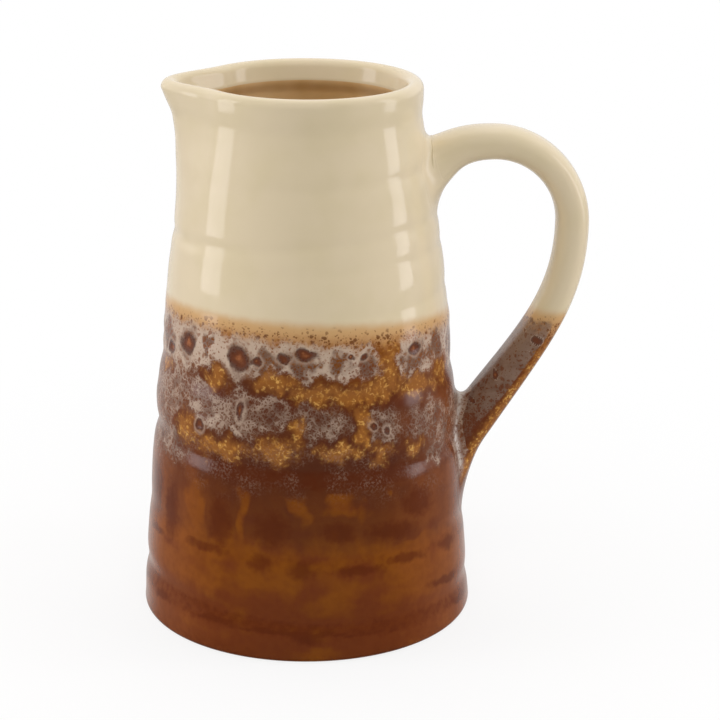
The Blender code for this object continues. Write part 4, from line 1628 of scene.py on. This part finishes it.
@dataclass
class Studio:
    """Floor, softboxes, fills, backdrop and camera.

    Attributes:
        camera_place: Where the camera stands, in metres.
        pitch: How far the camera looks down.
        yaw: How far it looks to the right.
        roll: How far it leans.
        lens: Focal length, in millimetres.
        sensor: Width of the sensor, in millimetres.
        floor_radius: Radius of the floor.
        floor_columns: Points round it.
        floor_rings: Rings of points on it.
        floor_grey: Its colour.
        fade_near: Distance from the jug's axis at which the floor starts to turn white for the camera.
        fade_far: Distance at which it is white.
        near_white: How white it is at the jug.
        box_distance: How far the softboxes stand to the sides.
        box_height: Their height.
        box_low: How far above the floor they start.
        box_glow: How brightly they glow.
        box_tint: Their colour.
        left_box: How far the left one stands towards the camera, and its width.
        right_box: The same for the right one.
        wall_glow: How brightly the room glows behind the jug.
        sweep_glow: How brightly it glows straight behind.
        room_tint: Colour of the room's light.
        fill_size: Size of the fills.
        fill_aim: Height on the jug's axis that they point at.
        front_place: Where the front fill stands.
        front_power: Its power, in watts.
        front_tint: Its colour.
        side_place: Where the right fill stands; the left one mirrors it.
        side_power: Their power.
        side_tint: Their colour.
    """

    camera_place: Triple = (0.0, -0.86570, 0.39113)
    pitch: float = math.radians(18.230)
    yaw: float = math.radians(1.483)
    roll: float = math.radians(0.468)
    lens: float = 108.937
    sensor: float = 36.0
    floor_radius: float = 0.62
    floor_columns: int = 96
    floor_rings: int = 12
    floor_grey: float = 0.86
    fade_near: float = 0.07
    fade_far: float = 0.36
    near_white: float = 0.80
    box_distance: float = 0.70
    box_height: float = 0.62
    box_low: float = 0.058
    box_glow: float = 2.25
    box_tint: Triple = (1.0, 0.96, 1.0)
    left_box: tuple[float, float] = (0.10, 0.25)
    right_box: tuple[float, float] = (0.045, 0.18)
    wall_glow: float = 0.78
    sweep_glow: float = 0.50
    room_tint: Quad = (1.0, 0.97, 0.95, 1.0)
    fill_size: float = 0.9
    fill_aim: float = 0.10
    front_place: Triple = (0.0, -1.1, 1.15)
    front_power: float = 7.3
    front_tint: Triple = (1.0, 0.98, 0.91)
    side_place: Triple = (1.2, -0.25, 0.65)
    side_power: float = 5.3
    side_tint: Triple = (0.98, 0.965, 1.02)

    def add_camera(self) -> None:
        """Sets the scene's camera from its place, pitch, yaw and roll."""
        ahead = Vector((
            math.sin(self.yaw) * math.cos(self.pitch),
            math.cos(self.yaw) * math.cos(self.pitch),
            -math.sin(self.pitch),
        ))
        level = Vector((math.cos(self.yaw), -math.sin(self.yaw), 0.0))
        upright = level.cross(ahead)
        right = level * math.cos(self.roll) + upright * math.sin(self.roll)
        up = upright * math.cos(self.roll) - level * math.sin(self.roll)
        lens = bpy.data.cameras.new("photo_camera")
        lens.sensor_width = self.sensor
        lens.lens = self.lens
        camera = bpy.data.objects.new("photo_camera", lens)
        turn = Matrix((right, up, -ahead)).transposed().to_4x4()
        camera.matrix_world = Matrix.Translation(self.camera_place) @ turn
        bpy.context.scene.collection.objects.link(camera)
        bpy.context.scene.camera = camera

    def add_lamp(self, name: str, place: Vector, aim: Vector, power: float, tint: Triple) -> bpy.types.Object:
        """Adds an area lamp.

        Args:
            name: Name of the lamp.
            place: Where it stands.
            aim: Direction that it shines in.
            power: Its power, in watts.
            tint: Its colour.

        Returns:
            The lamp's object.
        """
        lamp = bpy.data.lights.new(name, "AREA")
        lamp.energy = power
        lamp.color = tint
        holder = bpy.data.objects.new(name, lamp)
        holder.matrix_world = Matrix.Translation(place) @ aim.to_track_quat("-Z", "Y").to_matrix().to_4x4()
        bpy.context.scene.collection.objects.link(holder)
        return holder

    def add_softbox(self, name: str, side: float, ahead: float, width: float) -> None:
        """Adds an upright strip softbox beside the jug.

        Args:
            name: Name of the lamp.
            side: -1 for the lip's side and +1 for the handle's.
            ahead: How far it stands towards the camera, in metres.
            width: Its width, in metres.
        """
        place = Vector((side * self.box_distance, -ahead, self.box_low + 0.5 * self.box_height))
        power = self.box_glow * math.pi * width * self.box_height
        lamp = self.add_lamp(name, place, Vector((-side, 0.0, 0.0)), power, self.box_tint).data
        lamp.shape = "RECTANGLE"
        lamp.size, lamp.size_y = width, self.box_height

    def add_fill(self, name: str, place: Triple, power: float, tint: Triple) -> None:
        """Adds a broad fill that lights the jug evenly and isn't mirrored in its glaze.

        Args:
            name: Name of the lamp.
            place: Where it stands, in metres.
            power: Its power, in watts.
            tint: Its colour.
        """
        aim = Vector((0.0, 0.0, self.fill_aim)) - Vector(place)
        fill = self.add_lamp(name, Vector(place), aim, power, tint)
        fill.data.size = self.fill_size
        fill.visible_glossy = False

    def add_floor(self) -> None:
        """Adds a round pale floor that fades to the backdrop's white for the camera and keeps the shadow."""
        turn = round_angles(self.floor_columns)
        rings = np.linspace(0.0, 1.0, self.floor_rings)[1:, None] * self.floor_radius
        grid = np.stack((rings * np.cos(turn), rings * np.sin(turn), 0.0 * rings * turn), axis=-1)
        mesh = bpy.data.meshes.new("studio_floor")
        faces = grid_quads(len(rings), len(turn), False)
        inner = [list(range(len(turn)))]
        mesh.from_pydata(grid.reshape(-1, 3), [], faces.tolist() + inner)
        floor = bpy.data.objects.new("studio_floor", mesh)
        bpy.context.scene.collection.objects.link(floor)
        mesh.materials.append(self.floor_material())
        floor.visible_glossy = False

    def floor_material(self) -> bpy.types.Material:
        """Matt pale floor; for camera rays it turns white away from the jug.

        Returns:
            The material.
        """
        material = bpy.data.materials.new("studio_floor")
        material.use_nodes = True
        tree = material.node_tree
        graph = Graph(tree)
        matt = tree.nodes["Principled BSDF"]
        matt.inputs["Base Color"].default_value = (self.floor_grey,) * 3 + (1.0,)
        matt.inputs["Roughness"].default_value = 1.0
        matt.inputs["Specular IOR Level"].default_value = 0.0
        place = graph.add("ShaderNodeTexCoord").outputs["Object"]
        length = graph.add("ShaderNodeVectorMath", place, operation="LENGTH").outputs["Value"]
        fade = graph.step(length, self.fade_near, self.fade_far, self.near_white, 1.0)
        seen = graph.times(fade, graph.add("ShaderNodeLightPath").outputs["Is Camera Ray"])
        white = graph.add("ShaderNodeEmission").outputs[0]
        both = graph.add("ShaderNodeMixShader", seen, matt.outputs[0], white)
        graph.feed(tree.nodes["Material Output"].inputs["Surface"], both.outputs[0])
        return material

    def add_backdrop(self) -> None:
        """White backdrop for the camera; the room is dim in front of the jug and white behind it."""
        world = bpy.data.worlds.new("studio")
        bpy.context.scene.world = world
        world.use_nodes = True
        graph = Graph(world.node_tree)
        background = world.node_tree.nodes["Background"]
        direction = graph.add("ShaderNodeTexCoord").outputs["Generated"]
        _, away, up = graph.parts(direction)
        wall = graph.times(graph.step(away, -0.20, 0.60), graph.step(up, -0.12, 0.06))
        sweep = graph.step(away, 0.52, 0.90, 0.0, self.sweep_glow)
        lit = graph.larger(graph.times(wall, self.wall_glow), sweep)
        room = graph.plus(graph.step(away, -0.45, 0.65, 0.04, 0.20), lit)
        room = graph.plus(room, graph.step(up, 0.25, 0.95, 0.0, 0.40))
        rays = graph.add("ShaderNodeLightPath").outputs["Is Camera Ray"]
        graph.feed(background.inputs["Strength"], graph.larger(room, rays))
        graph.feed(background.inputs["Color"], graph.mix(rays, self.room_tint, (1.0,) * 4))

    def build(self) -> None:
        """Adds everything that isn't the jug."""
        self.add_camera()
        self.add_floor()
        self.add_backdrop()
        self.add_softbox("left_softbox", -1.0, *self.left_box)
        self.add_softbox("right_softbox", 1.0, *self.right_box)
        self.add_fill("front_fill", self.front_place, self.front_power, self.front_tint)
        across, back, up = self.side_place
        for name, side in (("left_fill", -across), ("right_fill", across)):
            self.add_fill(name, (side, back, up), self.side_power, self.side_tint)
        bpy.context.scene.view_settings.view_transform = "Standard"


def dress(piece: bpy.types.Object, node: str, material: bpy.types.Material) -> None:
    """Puts a piece in its CAD node's place, with its finish.

    Args:
        piece: The finished piece.
        node: The CAD node that it stands for.
        material: Its finish.
    """
    piece.data.materials.append(material)
    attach(piece, BODY)
    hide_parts(node)
    LOG.info("%s stands for %s: %d faces", piece.name, node, len(piece.data.polygons))


def corners(box: tuple[Vector, Vector]) -> list[list[float]]:
    """A box's two corners as plain lists."""
    return [list(map(float, corner)) for corner in box]


def main() -> None:
    """Builds the jug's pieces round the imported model, dresses them and sets up the studio."""
    logging.basicConfig(level=logging.INFO, format="%(name)s: %(message)s")
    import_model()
    _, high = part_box("jug_body")
    glaze = GlazeLayout()
    body = JugBody(height=high.z, foot_radius=high.y)
    handle = StrapHandle(body)
    upper = LutedJoint(handle, Root.UPPER, crook_size=5.5 * MM, side_size=5.5 * MM, tail_size=8.0 * MM)
    lower = LutedJoint(handle, Root.LOWER, crook_size=10.5 * MM, side_size=5.5 * MM, tail_size=18.0 * MM)

    finish = ReactiveGlaze(Palette())
    body_finish = finish.material("body_glaze", BODY_RELIEF)
    dress(body.build(glaze), "jug_body", body_finish)
    handle_finish = finish.material("handle_glaze", HANDLE_RELIEF, HANDLE_DUSK)
    dress(handle.build(glaze), "handle", handle_finish)
    upper_piece = upper.build("upper_luting", glaze)
    upper_finish = finish.material("upper_joint_glaze", JOINT_RELIEF)
    dress(upper_piece, "upper_handle_joint", upper_finish)
    lower_piece = lower.build("lower_luting", glaze)
    lower_finish = finish.material("lower_joint_glaze", JOINT_RELIEF)
    dress(lower_piece, "lower_handle_joint", lower_finish)
    Studio().build()


if __name__ == "__main__":
    main()
